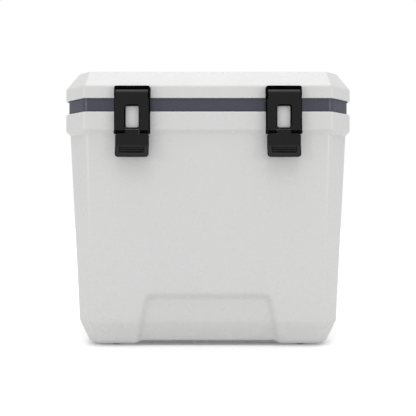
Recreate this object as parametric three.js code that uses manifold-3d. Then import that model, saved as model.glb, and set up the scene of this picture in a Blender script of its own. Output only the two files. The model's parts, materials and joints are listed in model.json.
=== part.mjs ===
/**
 * Hard-sided cooler chest: insulated tub, hinged lid, two draw latches, side hand-holds and a drain.
 * Millimetres, +Z up. The front faces -Y, +X is the right-hand side, and Z = 0 is the floor.
 */
import * as THREE from 'three';
import { mergeVertices } from 'three/addons/utils/BufferGeometryUtils.js';
import Module from 'manifold-3d';

const wasm = await Module();
wasm.setup();

// ---------------------------------------------------------------- driving dimensions

const GAP = 0.3; // clearance between pieces that rest against each other
const LOOSE = 0.5; // clearance around pieces that move
const SIDES = 16; // facets round a small cylinder
const HALF_WIDTH = 241.5; // rim and lid
const HALF_DEPTH = 200;
const EDGE_RADIUS = 9; // upright edges of the corner facets
const EDGE_STEPS = 2;
const WALL = 4; // moulded outer skins
const LINER_WALL = 3;
const RIM_CUT = 36.5; // corner facets of the rim, measured along each side
const LEAST_CUT = 12;
const MITRE = 2 - Math.SQRT2; // how fast a corner cut shrinks as an outline is inset

const RIM_TOP = 393.5;
const LID_BOTTOM = 415;
const LID_TOP = 463.5;
const SHELL_BOTTOM = 2.5;

/** Outer skin of the tub, from the floor up. */
const BODY_LEVELS = [
  { z: SHELL_BOTTOM, inset: 48, cut: 14 },
  { z: 4, inset: 41, cut: 15.5 },
  { z: 8.5, inset: 35.8, cut: 17.5 },
  { z: 43, inset: 21.3, cut: 24.5 },
  { z: 357, inset: 6.5, cut: 33.7 },
  { z: 363.5, inset: 0, cut: RIM_CUT },
  { z: 390.7, inset: 0, cut: RIM_CUT },
  { z: 392.7, inset: 0.8, cut: 36.2 },
  { z: RIM_TOP, inset: 2.8, cut: 35 },
];

/** Outer skin of the lid: an upright lip, then one chamfer up to the flat top. */
const LID_LEVELS = [
  { z: LID_BOTTOM, inset: 1.6, cut: 35.8 },
  { z: 417, inset: 0, cut: RIM_CUT },
  { z: 433.5, inset: 0, cut: RIM_CUT },
  { z: 436, inset: 1.4, cut: 35.4 },
  { z: 461.2, inset: 21, cut: 20 },
  { z: 462.8, inset: 22.8, cut: 19 },
  { z: LID_TOP, inset: 25.5, cut: 18 },
];

/** Outside of the food liner, under its flange. */
const LINER_LEVELS = [
  { z: 42, inset: 65, cut: 16 },
  { z: 44, inset: 60, cut: 18 },
  { z: 50, inset: 57.5, cut: 19 },
  { z: 391, inset: 40.5, cut: 24 },
];

const FRONT_RECESS = { top: 94, slope: 14, depth: 8, halfTop: 107, halfBottom: 132, corner: 16 };
const HAND_HOLD = { halfLength: 60, low: 318, high: 352, depth: 20.5, corner: 14 };
const ALCOVE = { floor: 202, halfWidth: 32, low: 28, high: 84, corner: 12 };

const FOOT = { x: 159, y: 138, radius: 8.5, tread: 6.9, stem: 3.5 };

const BAND = { inset: 5.4, bottom: 394, floorTop: 400, top: 430 };
const PLUG = { bottom: 384, inset: 48 };
const GASKET = { outer: 20.6, inner: 31.4, bottom: 393.6, top: 397 };

const HINGE = { x: 130, y: 211.5, z: 404, barrel: 7.5, pin: 2.5, halfWidth: 36, knuckle: 17.5 };
const HINGE_SCREW_X = 24;
const HINGE_BODY_SCREW_Z = 374;
const HINGE_LID_SCREW_Z = 426;

const LATCH_X = 123.5;
const LATCH = {
  front: -214, // outer face of the frame
  back: -208.5, // inner face of the frame's plate
  flangeBack: -204,
  halfWidth: 29,
  halfBarrel: 26.2, // between the bracket's cheeks
  shoulder: 411.5, // the frame is full width below this
  bottom: 360.4,
  windowHalf: 11,
  windowLow: 365.1,
  windowHigh: 400.8,
};
const HANGER = { y: -206, z: 420, barrel: 8, pin: 1.5 };
const BRACKET = { back: -194.5, plate: 2.9, bottom: 413, top: 434, halfWidth: 28.9, cheek: 2.4 };
const BRACKET_SCREW_X = 15;
const POCKET_FLOOR = -194.2;
const LEVER = { y: -210.3, z: 358, knuckle: 3.7, pin: 1.2, front: -212.2, thick: 5, top: 355.6 };
const LEVER_GRIP = { start: 338, bottom: 317, front: -219, halfWidth: 27.3, halfTop: 26.2 };
const PIER = { halfWidth: 24, top: 411, back: -195.9 };
const KEEPER = { halfWidth: 11, low: 364.8, high: 401, front: -206.2 }; // stands in the frame's window
const WEB = { inner: 11.7, outer: 27.4, front: -206, back: -204.3, low: 354.6, ledge: 361.4, high: 363.4 };

const DRAIN = { z: 60, bore: 7, tube: 9.5, flange: 10.7, nut: 16, tubeEnd: 210 };

const FINISHES = {
  white: { color: 0xd9d9d8, roughness: 0.45, metalness: 0 },
  slate: { color: 0x4a4b56, roughness: 0.5, metalness: 0 },
  liner: { color: 0xe6e6e4, roughness: 0.4, metalness: 0 },
  foam: { color: 0xe9dfb8, roughness: 0.95, metalness: 0 },
  latch: { color: 0x26262a, roughness: 0.45, metalness: 0 },
  bracket: { color: 0x111113, roughness: 0.7, metalness: 0 },
  rubber: { color: 0x1c1c1e, roughness: 0.85, metalness: 0 },
  steel: { color: 0x9a9ca0, roughness: 0.35, metalness: 1 },
};

// ---------------------------------------------------------------- solids

/** Turns a closed geometry into a solid that can be joined and cut. */
function toSolid(geometry) {
  const plain = geometry.clone();
  plain.deleteAttribute('normal');
  plain.deleteAttribute('uv');
  const merged = mergeVertices(plain, 1e-4);
  const mesh = new wasm.Mesh({
    numProp: 3,
    vertProperties: new Float32Array(merged.attributes.position.array),
    triVerts: new Uint32Array(merged.index.array),
  });
  return new wasm.Manifold(mesh);
}

function toGeometry(solid) {
  const mesh = solid.getMesh();
  const geometry = new THREE.BufferGeometry();
  geometry.setAttribute('position', new THREE.BufferAttribute(mesh.vertProperties, 3));
  geometry.setIndex(new THREE.BufferAttribute(mesh.triVerts, 1));
  geometry.computeVertexNormals();
  return geometry;
}

function join(solids) {
  return solids.reduce((whole, solid) => whole.add(solid));
}

function cut(solid, tools) {
  return tools.reduce((rest, tool) => rest.subtract(tool), solid);
}

/** Box between two values on each axis. */
function box([x0, x1], [y0, y1], [z0, z1]) {
  const geometry = new THREE.BoxGeometry(x1 - x0, y1 - y0, z1 - z0);
  geometry.translate((x0 + x1) / 2, (y0 + y1) / 2, (z0 + z1) / 2);
  return toSolid(geometry);
}

/** Cylinder along X, centred on y and z. */
function rodX(radius, [x0, x1], y, z, sides = SIDES) {
  const geometry = new THREE.CylinderGeometry(radius, radius, x1 - x0, sides);
  geometry.rotateZ(-Math.PI / 2);
  geometry.translate((x0 + x1) / 2, y, z);
  return toSolid(geometry);
}

/** Cylinder along Y, for a screw hole through a front or rear wall. */
function holeY(radius, x, [y0, y1], z) {
  const geometry = new THREE.CylinderGeometry(radius, radius, y1 - y0, 12);
  geometry.translate(x, (y0 + y1) / 2, z);
  return toSolid(geometry);
}

/** Extrudes an outline drawn in Y and Z along X. */
function extrudeX(shape, [x0, x1], curveSegments = 6) {
  const options = { depth: x1 - x0, bevelEnabled: false, curveSegments };
  const geometry = new THREE.ExtrudeGeometry(shape, options);
  const axes = new THREE.Matrix4().makeBasis(
    new THREE.Vector3(0, 1, 0),
    new THREE.Vector3(0, 0, 1),
    new THREE.Vector3(1, 0, 0),
  );
  geometry.applyMatrix4(axes);
  geometry.translate(x0, 0, 0);
  return toSolid(geometry);
}

function polygon(points) {
  return new THREE.Shape(points.map(([u, v]) => new THREE.Vector2(u, v)));
}

/** Shape whose corners are all rounded by curves of one radius. */
function roundedPolygon(points, radius) {
  const corners = points.map(([u, v]) => new THREE.Vector2(u, v));
  const count = corners.length;
  const shape = new THREE.Shape();
  corners.forEach((corner, i) => {
    const before = corners[(i + count - 1) % count].clone().sub(corner);
    const after = corners[(i + 1) % count].clone().sub(corner);
    const turn = Math.PI - Math.abs(before.angleTo(after));
    const reach = radius * Math.tan(turn / 2);
    const start = corner.clone().addScaledVector(before.normalize(), reach);
    const end = corner.clone().addScaledVector(after.normalize(), reach);
    if (i === 0) shape.moveTo(start.x, start.y);
    else shape.lineTo(start.x, start.y);
    shape.quadraticCurveTo(corner.x, corner.y, end.x, end.y);
  });
  shape.closePath();
  return shape;
}

/** Plan outline: a rectangle with cut corners, inset from the rim's own outline. */
function planPoints({ inset, cut: corner }) {
  const halfX = HALF_WIDTH - inset;
  const halfY = HALF_DEPTH - inset;
  const corners = [];
  for (const [sx, sy] of [[1, -1], [1, 1], [-1, 1], [-1, -1]]) {
    const onX = [sx * (halfX - corner), sy * halfY];
    const onY = [sx * halfX, sy * (halfY - corner)];
    corners.push(...(sx * sy < 0 ? [onX, onY] : [onY, onX]));
  }
  const points = roundedPolygon(corners, EDGE_RADIUS).getPoints(EDGE_STEPS);
  if (points[0].distanceTo(points.at(-1)) < 1e-6) points.pop();
  return points;
}

/** Closed solid through plan outlines at rising heights. */
function loft(levels) {
  const rings = levels.map(planPoints);
  const count = rings[0].length;
  const positions = rings.flatMap((ring, i) => ring.flatMap((p) => [p.x, p.y, levels[i].z]));
  const indices = [];
  for (let level = 0; level + 1 < rings.length; level += 1) {
    for (let i = 0; i < count; i += 1) {
      const a = level * count + i;
      const b = level * count + ((i + 1) % count);
      indices.push(a, b, b + count, a, b + count, a + count);
    }
  }
  const top = (rings.length - 1) * count;
  THREE.ShapeUtils.triangulateShape(rings[0], []).forEach(([a, b, c]) => {
    indices.push(c, b, a);
    indices.push(top + a, top + b, top + c);
  });
  const geometry = new THREE.BufferGeometry();
  geometry.setAttribute('position', new THREE.Float32BufferAttribute(positions, 3));
  geometry.setIndex(indices);
  return toSolid(geometry);
}

/** The same outlines moved inwards by a wall's thickness. */
function insetLevels(levels, distance) {
  return levels.map(({ z, inset, cut: corner }) => ({
    z,
    inset: inset + distance,
    cut: corner - distance * MITRE,
  }));
}

/** Upright ring or block with straight walls, at one inset of the rim's outline. */
function prism(inset, [z0, z1]) {
  const corner = Math.max(RIM_CUT - inset * MITRE, LEAST_CUT);
  return loft([{ z: z0, inset, cut: corner }, { z: z1, inset, cut: corner }]);
}

/** Solid of revolution round X from an outline of [x, radius] points. */
function turnedX(profile, y, z, sides = SIDES) {
  const points = profile.map(([x, radius]) => new THREE.Vector2(radius, x));
  const geometry = new THREE.LatheGeometry(points, sides);
  geometry.rotateZ(-Math.PI / 2);
  geometry.translate(0, y, z);
  return toSolid(geometry);
}

/** Tube along X between two radii. */
function ringX(inner, outer, span, y, z, sides = SIDES) {
  const through = [span[0] - 1, span[1] + 1];
  return rodX(outer, span, y, z, sides).subtract(rodX(inner, through, y, z, sides));
}

// ---------------------------------------------------------------- scene graph

const cooler = new THREE.Group();

/** Adds one named piece to the assembly. */
function addPiece(name, shape, finish, parent = cooler) {
  const geometry = shape.isBufferGeometry ? shape : toGeometry(shape);
  const mesh = new THREE.Mesh(geometry, new THREE.MeshStandardMaterial(FINISHES[finish]));
  mesh.name = name;
  parent.add(mesh);
  return mesh;
}

/** Pan-head screw whose head faces along a direction, with its seat at a place. */
function addScrew(name, place, direction, { head = 3.8, rise = 2.1, shank = 1.5, length = 7.4 }) {
  const profile = [
    [0, rise],
    [head * 0.7, rise * 0.85],
    [head, rise * 0.35],
    [head, 0],
    [shank, 0],
    [shank, -length + 1],
    [0, -length],
  ];
  const outline = profile.reverse().map(([radius, height]) => new THREE.Vector2(radius, height));
  const screw = addPiece(name, toSolid(new THREE.LatheGeometry(outline, 12)), 'steel');
  screw.quaternion.setFromUnitVectors(new THREE.Vector3(0, 1, 0), direction);
  screw.position.copy(place);
}

// ---------------------------------------------------------------- cut-outs that several pieces share

/** Wedge-topped recess low on the front wall, grown by a margin on every side. */
function frontRecess(margin) {
  const { top, slope, depth, halfTop, halfBottom, corner } = FRONT_RECESS;
  const outline = roundedPolygon([
    [-halfBottom - margin, SHELL_BOTTOM - 30],
    [halfBottom + margin, SHELL_BOTTOM - 30],
    [halfTop + margin, top + margin],
    [-halfTop - margin, top + margin],
  ], corner);
  const options = { depth: 120, bevelEnabled: false, curveSegments: 3 };
  const geometry = new THREE.ExtrudeGeometry(outline, options);
  geometry.rotateX(Math.PI / 2);
  geometry.translate(0, -HALF_DEPTH + 100, 0);
  const prismThrough = toSolid(geometry);
  const levels = BODY_LEVELS.map((level) => ({ ...level, inset: level.inset + depth + margin }));
  const lowest = { ...levels[0], z: SHELL_BOTTOM - 40 };
  const core = loft([lowest, ...levels]);
  const wallY = -HALF_DEPTH + 18.9;
  const ramp = extrudeX(polygon([
    [-HALF_DEPTH - 20, top + margin],
    [wallY, top + margin],
    [wallY + depth + margin + 1, top - slope + margin],
    [-HALF_DEPTH + 80, top - slope + margin],
    [-HALF_DEPTH + 80, SHELL_BOTTOM - 50],
    [-HALF_DEPTH - 20, SHELL_BOTTOM - 50],
  ]), [-HALF_WIDTH, HALF_WIDTH]);
  return prismThrough.subtract(core).intersect(ramp);
}

/** Block with rounded ends, cut into a side wall from the outside. */
function sidePocket(side, floor, halfLength, [low, high], corner) {
  const outline = roundedPolygon([
    [-halfLength, low],
    [halfLength, low],
    [halfLength, high],
    [-halfLength, high],
  ], corner);
  const span = side > 0 ? [floor, HALF_WIDTH + 20] : [-HALF_WIDTH - 20, -floor];
  return extrudeX(outline, span, 3);
}

function handHold(side, margin) {
  const { halfLength, low, high, depth, corner } = HAND_HOLD;
  const floor = HALF_WIDTH - 7.5 - depth - margin;
  return sidePocket(side, floor, halfLength + margin, [low - margin, high + margin], corner);
}

function drainAlcove(margin) {
  const { floor, halfWidth, low, high, corner } = ALCOVE;
  const heights = [low - margin, high + margin];
  return sidePocket(1, floor - margin, halfWidth + margin, heights, corner);
}

/** Seats in the lid's front lip for the latch brackets, grown by a margin. */
function latchPocket(side, margin) {
  const centre = side * LATCH_X;
  const half = BRACKET.halfWidth + GAP + margin;
  const depths = [-HALF_DEPTH - 20, POCKET_FLOOR + margin];
  return box([centre - half, centre + half], depths, [LID_BOTTOM - 20, BRACKET.top + GAP + margin]);
}

/** Room in the slate skirt for the moulded back of a latch pocket. */
function latchNotch(side) {
  const above = box([-HALF_WIDTH, HALF_WIDTH], [-HALF_DEPTH, 0], [BRACKET.bottom - LOOSE, LID_TOP]);
  return latchPocket(side, LINER_WALL + LOOSE).intersect(above);
}

function bodyPockets(margin) {
  return [frontRecess(margin), handHold(1, margin), handHold(-1, margin), drainAlcove(margin)];
}

function drainHole(radius) {
  return rodX(radius, [150, HALF_WIDTH], 0, DRAIN.z);
}

function hingeScrewPlaces(height) {
  const places = [];
  for (const hinge of [-1, 1]) {
    for (const side of [-1, 1]) {
      places.push(new THREE.Vector3(hinge * HINGE.x + side * HINGE_SCREW_X, 0, height));
    }
  }
  return places;
}

// ---------------------------------------------------------------- tub

/** Space inside the outer skin, less the thickened pockets. */
function bodyCavity(clearance) {
  const wall = WALL + clearance;
  const levels = insetLevels(BODY_LEVELS.slice(2, 5), wall + 0.2);
  const bottom = { ...levels[0], z: SHELL_BOTTOM + wall, inset: levels[0].inset + 8 };
  const rim = insetLevels([{ z: 366 + clearance, inset: 0, cut: RIM_CUT }], wall + 0.2)[0];
  const top = { ...rim, z: RIM_TOP - wall };
  const skin = loft([bottom, { ...levels[0], z: 10 + clearance }, levels[1], levels[2], rim, top]);
  return cut(skin, bodyPockets(wall));
}

function makeBodyShell() {
  const footStems = [];
  for (const sx of [-1, 1]) {
    for (const sy of [-1, 1]) footStems.push(footStemHole(sx * FOOT.x, sy * FOOT.y));
  }
  const posts = [-1, 1].flatMap((side) => {
    const centre = side * LATCH_X;
    const span = (half) => [centre - half, centre + half];
    return [
      box(span(PIER.halfWidth), [-HALF_DEPTH, PIER.back], [385, PIER.top]),
      box(span(KEEPER.halfWidth), [KEEPER.front, PIER.back], [KEEPER.low, KEEPER.high]),
    ];
  });
  const screwHoles = hingeScrewPlaces(HINGE_BODY_SCREW_Z).map(({ x, z }) => (
    holeY(1.9, x, [HALF_DEPTH - 10, HALF_DEPTH + 5], z)
  ));
  const skin = join([loft(BODY_LEVELS), ...posts]);
  return cut(skin, [
    bodyCavity(0),
    prism(14, [RIM_TOP - WALL - 2, RIM_TOP + 5]),
    ...bodyPockets(0),
    drainHole(DRAIN.tube + GAP),
    ...footStems,
    ...screwHoles,
  ]);
}

function footStemHole(x, y) {
  const geometry = new THREE.CylinderGeometry(FOOT.stem + GAP, FOOT.stem + GAP, 20, 12);
  geometry.rotateX(Math.PI / 2);
  geometry.translate(x, y, SHELL_BOTTOM);
  return toSolid(geometry);
}

function makeBodyFoam() {
  const liner = loft([...insetLevels(LINER_LEVELS, -LOOSE), { z: 400, inset: 39.5, cut: 24 }]);
  const under = { ...LINER_LEVELS[0], z: LINER_LEVELS[0].z - LOOSE };
  const floor = loft([under, { ...under, z: under.z + 10 }]);
  const foam = bodyCavity(GAP);
  const screwTips = hingeScrewPlaces(HINGE_BODY_SCREW_Z).map(({ x, z }) => (
    holeY(2.2, x, [HALF_DEPTH - 10, HALF_DEPTH + 5], z)
  ));
  return cut(foam, [
    liner,
    floor,
    prism(0, [RIM_TOP - WALL - GAP, RIM_TOP + 5]),
    drainHole(DRAIN.tube + GAP),
    ...screwTips,
  ]);
}

function makeBodyLiner() {
  const flange = prism(14 + GAP, [390.2, 393.2]);
  const tub = loft(LINER_LEVELS);
  const inner = insetLevels(LINER_LEVELS, LINER_WALL);
  const lifted = inner.map((level, i) => (i < 2 ? { ...level, z: level.z + LINER_WALL } : level));
  const space = loft([...lifted, { ...inner[3], z: 400 }]);
  return cut(join([flange, tub]), [space, drainHole(DRAIN.tube + GAP)]);
}

function addFeet() {
  const profile = [[0, 0], [FOOT.tread, 0], [FOOT.radius, 1.2], [FOOT.radius, 2.2], [FOOT.stem, 2.2],
    [FOOT.stem, 5.8], [0, 5.8]].map(([radius, z]) => new THREE.Vector2(radius, z));
  for (const [sy, row] of [[-1, 'front'], [1, 'rear']]) {
    for (const [sx, column] of [[-1, 'left'], [1, 'right']]) {
      const geometry = new THREE.LatheGeometry(profile, SIDES);
      geometry.rotateX(Math.PI / 2);
      const foot = addPiece(`foot_${row}_${column}`, toSolid(geometry), 'rubber');
      foot.position.set(sx * FOOT.x, sy * FOOT.y, 0);
    }
  }
}

function addTub() {
  addPiece('body_shell', makeBodyShell(), 'white');
  addPiece('body_foam', makeBodyFoam(), 'foam');
  addPiece('body_liner', makeBodyLiner(), 'liner');
  addFeet();
}

// ---------------------------------------------------------------- drain

function addDrain() {
  const { z, bore, tube, flange, nut, tubeEnd } = DRAIN;
  const bushing = join([
    rodX(flange, [177, 179.6], 0, z),
    rodX(tube, [178, tubeEnd], 0, z),
  ]).subtract(rodX(bore, [170, 220], 0, z));
  addPiece('drain_bushing', bushing, 'latch');
  const faceX = ALCOVE.floor + GAP;
  addPiece('drain_washer', ringX(tube + GAP, 15, [faceX, faceX + 1.8], 0, z), 'rubber');
  const nutSpan = [faceX + 2.1, faceX + 7];
  const hexagon = rodX(nut, nutSpan, 0, z, 6);
  addPiece('drain_nut', hexagon.subtract(rodX(tube + GAP, [190, 220], 0, z)), 'latch');
  const seal = ringX(bore + 0.2, flange, [tubeEnd + GAP, tubeEnd + 2.1], 0, z);
  addPiece('drain_plug_seal', seal, 'rubber');
  const plug = turnedX([[190, 0], [190, 5.4], [191.5, 6.6], [212.4, 6.6], [212.4, 13], [218.8, 13],
    [220, 11.8], [220, 0]], 0, z, 24);
  const grips = Array.from({ length: 8 }, (unused, i) => {
    const angle = (i * Math.PI) / 4;
    return rodX(1.9, [214.5, 225], 13.4 * Math.cos(angle), z + 13.4 * Math.sin(angle), 8);
  });
  addPiece('drain_plug', cut(plug, grips), 'latch');
}

// ---------------------------------------------------------------- lid

/** Space under the lid's skin, less the thickened latch pockets. */
function lidCavity() {
  const space = loft([
    { z: LID_BOTTOM - 5, inset: WALL, cut: 34 },
    { z: 433, inset: WALL, cut: 34 },
    { z: LID_TOP - WALL, inset: 24.5, cut: 18.5 },
  ]);
  return cut(space, [latchPocket(-1, LINER_WALL), latchPocket(1, LINER_WALL)]);
}

function bracketScrewPlaces() {
  return [-1, 1].flatMap((latch) => [-1, 1].map((side) => (
    new THREE.Vector3(latch * LATCH_X + side * BRACKET_SCREW_X, 0, HANGER.z)
  )));
}

function makeLidCover() {
  const rearHoles = hingeScrewPlaces(HINGE_LID_SCREW_Z).map(({ x, z }) => (
    holeY(1.9, x, [HALF_DEPTH - 10, HALF_DEPTH + 5], z)
  ));
  const frontHoles = bracketScrewPlaces().map(({ x, z }) => (
    holeY(1.6, x, [-HALF_DEPTH, POCKET_FLOOR + 5], z)
  ));
  return cut(loft(LID_LEVELS), [
    lidCavity(),
    latchPocket(-1, 0),
    latchPocket(1, 0),
    ...rearHoles,
    ...frontHoles,
  ]);
}

/** Slate pan under the lid: its skirt is the band that shows between lid and tub. */
function makeLidLiner() {
  const outside = join([
    prism(BAND.inset, [BAND.bottom, BAND.top]),
    loft([
      { z: PLUG.bottom, inset: PLUG.inset + 3, cut: 20 },
      { z: PLUG.bottom + 3, inset: PLUG.inset, cut: 22 },
      { z: BAND.bottom + 1, inset: PLUG.inset, cut: 22 },
    ]),
  ]);
  const groove = prism(GASKET.outer - GAP, [BAND.bottom - 1, GASKET.top + GAP])
    .subtract(prism(GASKET.inner + GAP, [BAND.bottom - 2, GASKET.top + 1]));
  return cut(outside, [
    prism(BAND.inset + LINER_WALL, [BAND.floorTop, BAND.top + 5]),
    prism(PLUG.inset + 2 * LINER_WALL, [PLUG.bottom + LINER_WALL, BAND.top]),
    groove,
    latchNotch(-1),
    latchNotch(1),
  ]);
}

function makeLidFoam() {
  const inset = BAND.inset + LINER_WALL + LOOSE;
  const corner = RIM_CUT - inset * MITRE;
  const upper = loft([
    { z: BAND.floorTop + LOOSE, inset, cut: corner },
    { z: 438, inset, cut: corner },
    { z: LID_TOP - WALL - LOOSE, inset: 25.4, cut: 18 },
  ]);
  const lower = prism(PLUG.inset + 2 * LINER_WALL + LOOSE, [PLUG.bottom + 3.5, BAND.floorTop + 2]);
  return cut(join([upper, lower]), [
    latchPocket(-1, LINER_WALL + LOOSE),
    latchPocket(1, LINER_WALL + LOOSE),
  ]);
}

function makeGasket() {
  const { outer, inner, bottom, top } = GASKET;
  return prism(outer, [bottom, top]).subtract(prism(inner, [bottom - 1, top + 1]));
}

function addLid() {
  addPiece('lid_cover', makeLidCover(), 'white');
  addPiece('lid_liner', makeLidLiner(), 'slate');
  addPiece('lid_foam', makeLidFoam(), 'foam');
  addPiece('lid_gasket', makeGasket(), 'rubber');
}

// ---------------------------------------------------------------- hinges

const leafInner = HALF_DEPTH + GAP;
const leafOuter = leafInner + 4;

/** Fixed leaf on the tub's rim, with a knuckle at each end of the barrel. */
function makeBodyLeaf() {
  const { y, z, barrel, pin, halfWidth, knuckle } = HINGE;
  const plate = box([-halfWidth, halfWidth], [leafInner, leafOuter], [366, 391.5]);
  const gusset = polygon([[leafInner, 372], [leafOuter, 372], [y + 7.2, z - 3], [y, z],
    [leafOuter, z], [leafInner, z - 6]]);
  const knuckles = [[-halfWidth, -knuckle - GAP], [knuckle + GAP, halfWidth]].flatMap((span) => [
    rodX(barrel, span, y, z),
    extrudeX(gusset, span),
  ]);
  const screwHoles = [-1, 1].map((side) => (
    holeY(1.9, side * HINGE_SCREW_X, [leafInner - 1, leafOuter + 20], HINGE_BODY_SCREW_Z)
  ));
  const driverHoles = [-1, 1].map((side) => (
    holeY(4.4, side * HINGE_SCREW_X, [leafOuter, leafOuter + 20], HINGE_BODY_SCREW_Z)
  ));
  const bore = rodX(pin + GAP, [-50, 50], y, z);
  return cut(join([plate, ...knuckles]), [bore, ...screwHoles, ...driverHoles]);
}

/** Moving leaf on the lid, with the middle knuckle. */
function makeLidLeaf() {
  const { y, z, barrel, pin, halfWidth, knuckle } = HINGE;
  const plate = box([-halfWidth, halfWidth], [leafInner, leafOuter], [416, 433.4]);
  const gusset = polygon([[leafInner, z + 6], [leafOuter, z], [y, z], [y + 6.4, z + 4.2],
    [leafOuter, 433.4], [leafInner, 433.4]]);
  const span = [-knuckle, knuckle];
  const screwHoles = [-1, 1].map((side) => (
    holeY(1.9, side * HINGE_SCREW_X, [leafInner - 1, leafOuter + 1], HINGE_LID_SCREW_Z)
  ));
  const bore = rodX(pin + GAP, [-50, 50], y, z);
  const leaf = join([plate, rodX(barrel, span, y, z), extrudeX(gusset, span)]);
  return cut(leaf, [bore, ...screwHoles]);
}

function makeHingePin() {
  const { y, z, pin, halfWidth } = HINGE;
  const end = halfWidth + 1.6;
  return turnedX([[-end, 0], [-end, 3.6], [-halfWidth - GAP, 3.6], [-halfWidth - GAP, pin],
    [halfWidth + GAP, pin], [halfWidth + GAP, 3.6], [end, 3.6], [end, 0]], y, z, 16);
}

function addHinges() {
  const backwards = new THREE.Vector3(0, 1, 0);
  for (const [side, name] of [[-1, 'left'], [1, 'right']]) {
    addPiece(`hinge_${name}_body_leaf`, makeBodyLeaf(), 'latch').position.x = side * HINGE.x;
    addPiece(`hinge_${name}_lid_leaf`, makeLidLeaf(), 'latch').position.x = side * HINGE.x;
    addPiece(`hinge_${name}_pin`, makeHingePin(), 'steel').position.x = side * HINGE.x;
    for (const [offset, end] of [[-1, 'a'], [1, 'b']]) {
      const x = side * HINGE.x + offset * HINGE_SCREW_X;
      const seat = leafOuter + GAP;
      const low = new THREE.Vector3(x, seat, HINGE_BODY_SCREW_Z);
      const high = new THREE.Vector3(x, seat, HINGE_LID_SCREW_Z);
      addScrew(`hinge_${name}_body_screw_${end}`, low, backwards, {});
      addScrew(`hinge_${name}_lid_screw_${end}`, high, backwards, {});
    }
  }
}

// ---------------------------------------------------------------- latches

/** Housing in the lid's pocket: back plate, hood and the two cheeks that carry the hanger pin. */
function makeBracket() {
  const { back, plate, bottom, top, halfWidth, cheek } = BRACKET;
  const face = back - plate;
  const cheekShape = new THREE.Shape();
  cheekShape.moveTo(back, bottom);
  cheekShape.lineTo(HANGER.y, bottom);
  cheekShape.absarc(HANGER.y, HANGER.z, HANGER.z - bottom, -Math.PI / 2, -Math.PI, true);
  cheekShape.lineTo(HANGER.y - 4, top - 3);
  cheekShape.quadraticCurveTo(HANGER.y - 4, top, HANGER.y - 1, top);
  cheekShape.lineTo(back, top);
  cheekShape.closePath();
  const cheeks = [
    extrudeX(cheekShape, [-halfWidth, -halfWidth + cheek]),
    extrudeX(cheekShape, [halfWidth - cheek, halfWidth]),
  ];
  const hood = box([-halfWidth, halfWidth], [HANGER.y - 1, back], [428.7, top]);
  const wall = box([-halfWidth, halfWidth], [face, back], [bottom, top]);
  const sinks = [-1, 1].map((side) => {
    const countersink = new THREE.CylinderGeometry(3.2, 1.8, 2, 12);
    countersink.rotateX(Math.PI);
    countersink.translate(side * BRACKET_SCREW_X, face + 0.99, HANGER.z);
    return toSolid(countersink);
  });
  const holes = [-1, 1].map((side) => (
    holeY(1.8, side * BRACKET_SCREW_X, [face - 1, back + 1], HANGER.z)
  ));
  const bore = rodX(HANGER.pin + GAP, [-50, 50], HANGER.y, HANGER.z, 16);
  return cut(join([wall, hood, ...cheeks]), [bore, ...sinks, ...holes]);
}

/** Web behind the lever pin, from the frame's plate to the flange on one side. */
function makeWeb(side) {
  const span = [side * WEB.inner, side * WEB.outer].sort((a, b) => a - b);
  return join([
    box(span, [WEB.front, WEB.back], [WEB.low, WEB.high]),
    box(span, [LATCH.back - 1, WEB.back], [WEB.ledge, WEB.high]),
  ]);
}

/** Draw frame: a barrel on the hanger pin, a plate with a window, a flange and a web down each side. */
function makeFrame() {
  const { front, back, flangeBack, halfWidth, halfBarrel, shoulder, bottom } = LATCH;
  const plate = box([-halfWidth, halfWidth], [front, back], [bottom, shoulder]);
  const neck = box([-halfBarrel, halfBarrel], [front, back], [shoulder - 1, HANGER.z]);
  const barrel = rodX(HANGER.barrel, [-halfBarrel, halfBarrel], HANGER.y, HANGER.z, 24);
  const flangeShape = new THREE.Shape();
  flangeShape.moveTo(front, shoulder);
  flangeShape.lineTo(front, LEVER.z);
  flangeShape.absarc(LEVER.y, LEVER.z, LEVER.knuckle, -Math.PI, -Math.PI / 2, false);
  flangeShape.quadraticCurveTo(flangeBack, LEVER.z - LEVER.knuckle, flangeBack, LEVER.z + 4);
  flangeShape.lineTo(flangeBack, shoulder - 6);
  flangeShape.lineTo(back, shoulder);
  flangeShape.closePath();
  const flanges = [
    extrudeX(flangeShape, [-halfWidth, -halfBarrel - GAP]),
    extrudeX(flangeShape, [halfBarrel + GAP, halfWidth]),
  ];
  const { windowHalf, windowLow, windowHigh } = LATCH;
  const window = box([-windowHalf, windowHalf], [front - 5, back + 5], [windowLow, windowHigh]);
  const notchHalf = windowHalf + LOOSE;
  const notch = box([-notchHalf, notchHalf], [front - 5, back + 5], [bottom - 5, 362.6]);
  return cut(join([plate, neck, barrel, ...flanges, makeWeb(-1), makeWeb(1)]), [
    window,
    notch,
    rodX(HANGER.pin + GAP, [-50, 50], HANGER.y, HANGER.z, 16),
    rodX(LEVER.pin + GAP, [-50, 50], LEVER.y, LEVER.z, 12),
  ]);
}

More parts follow.
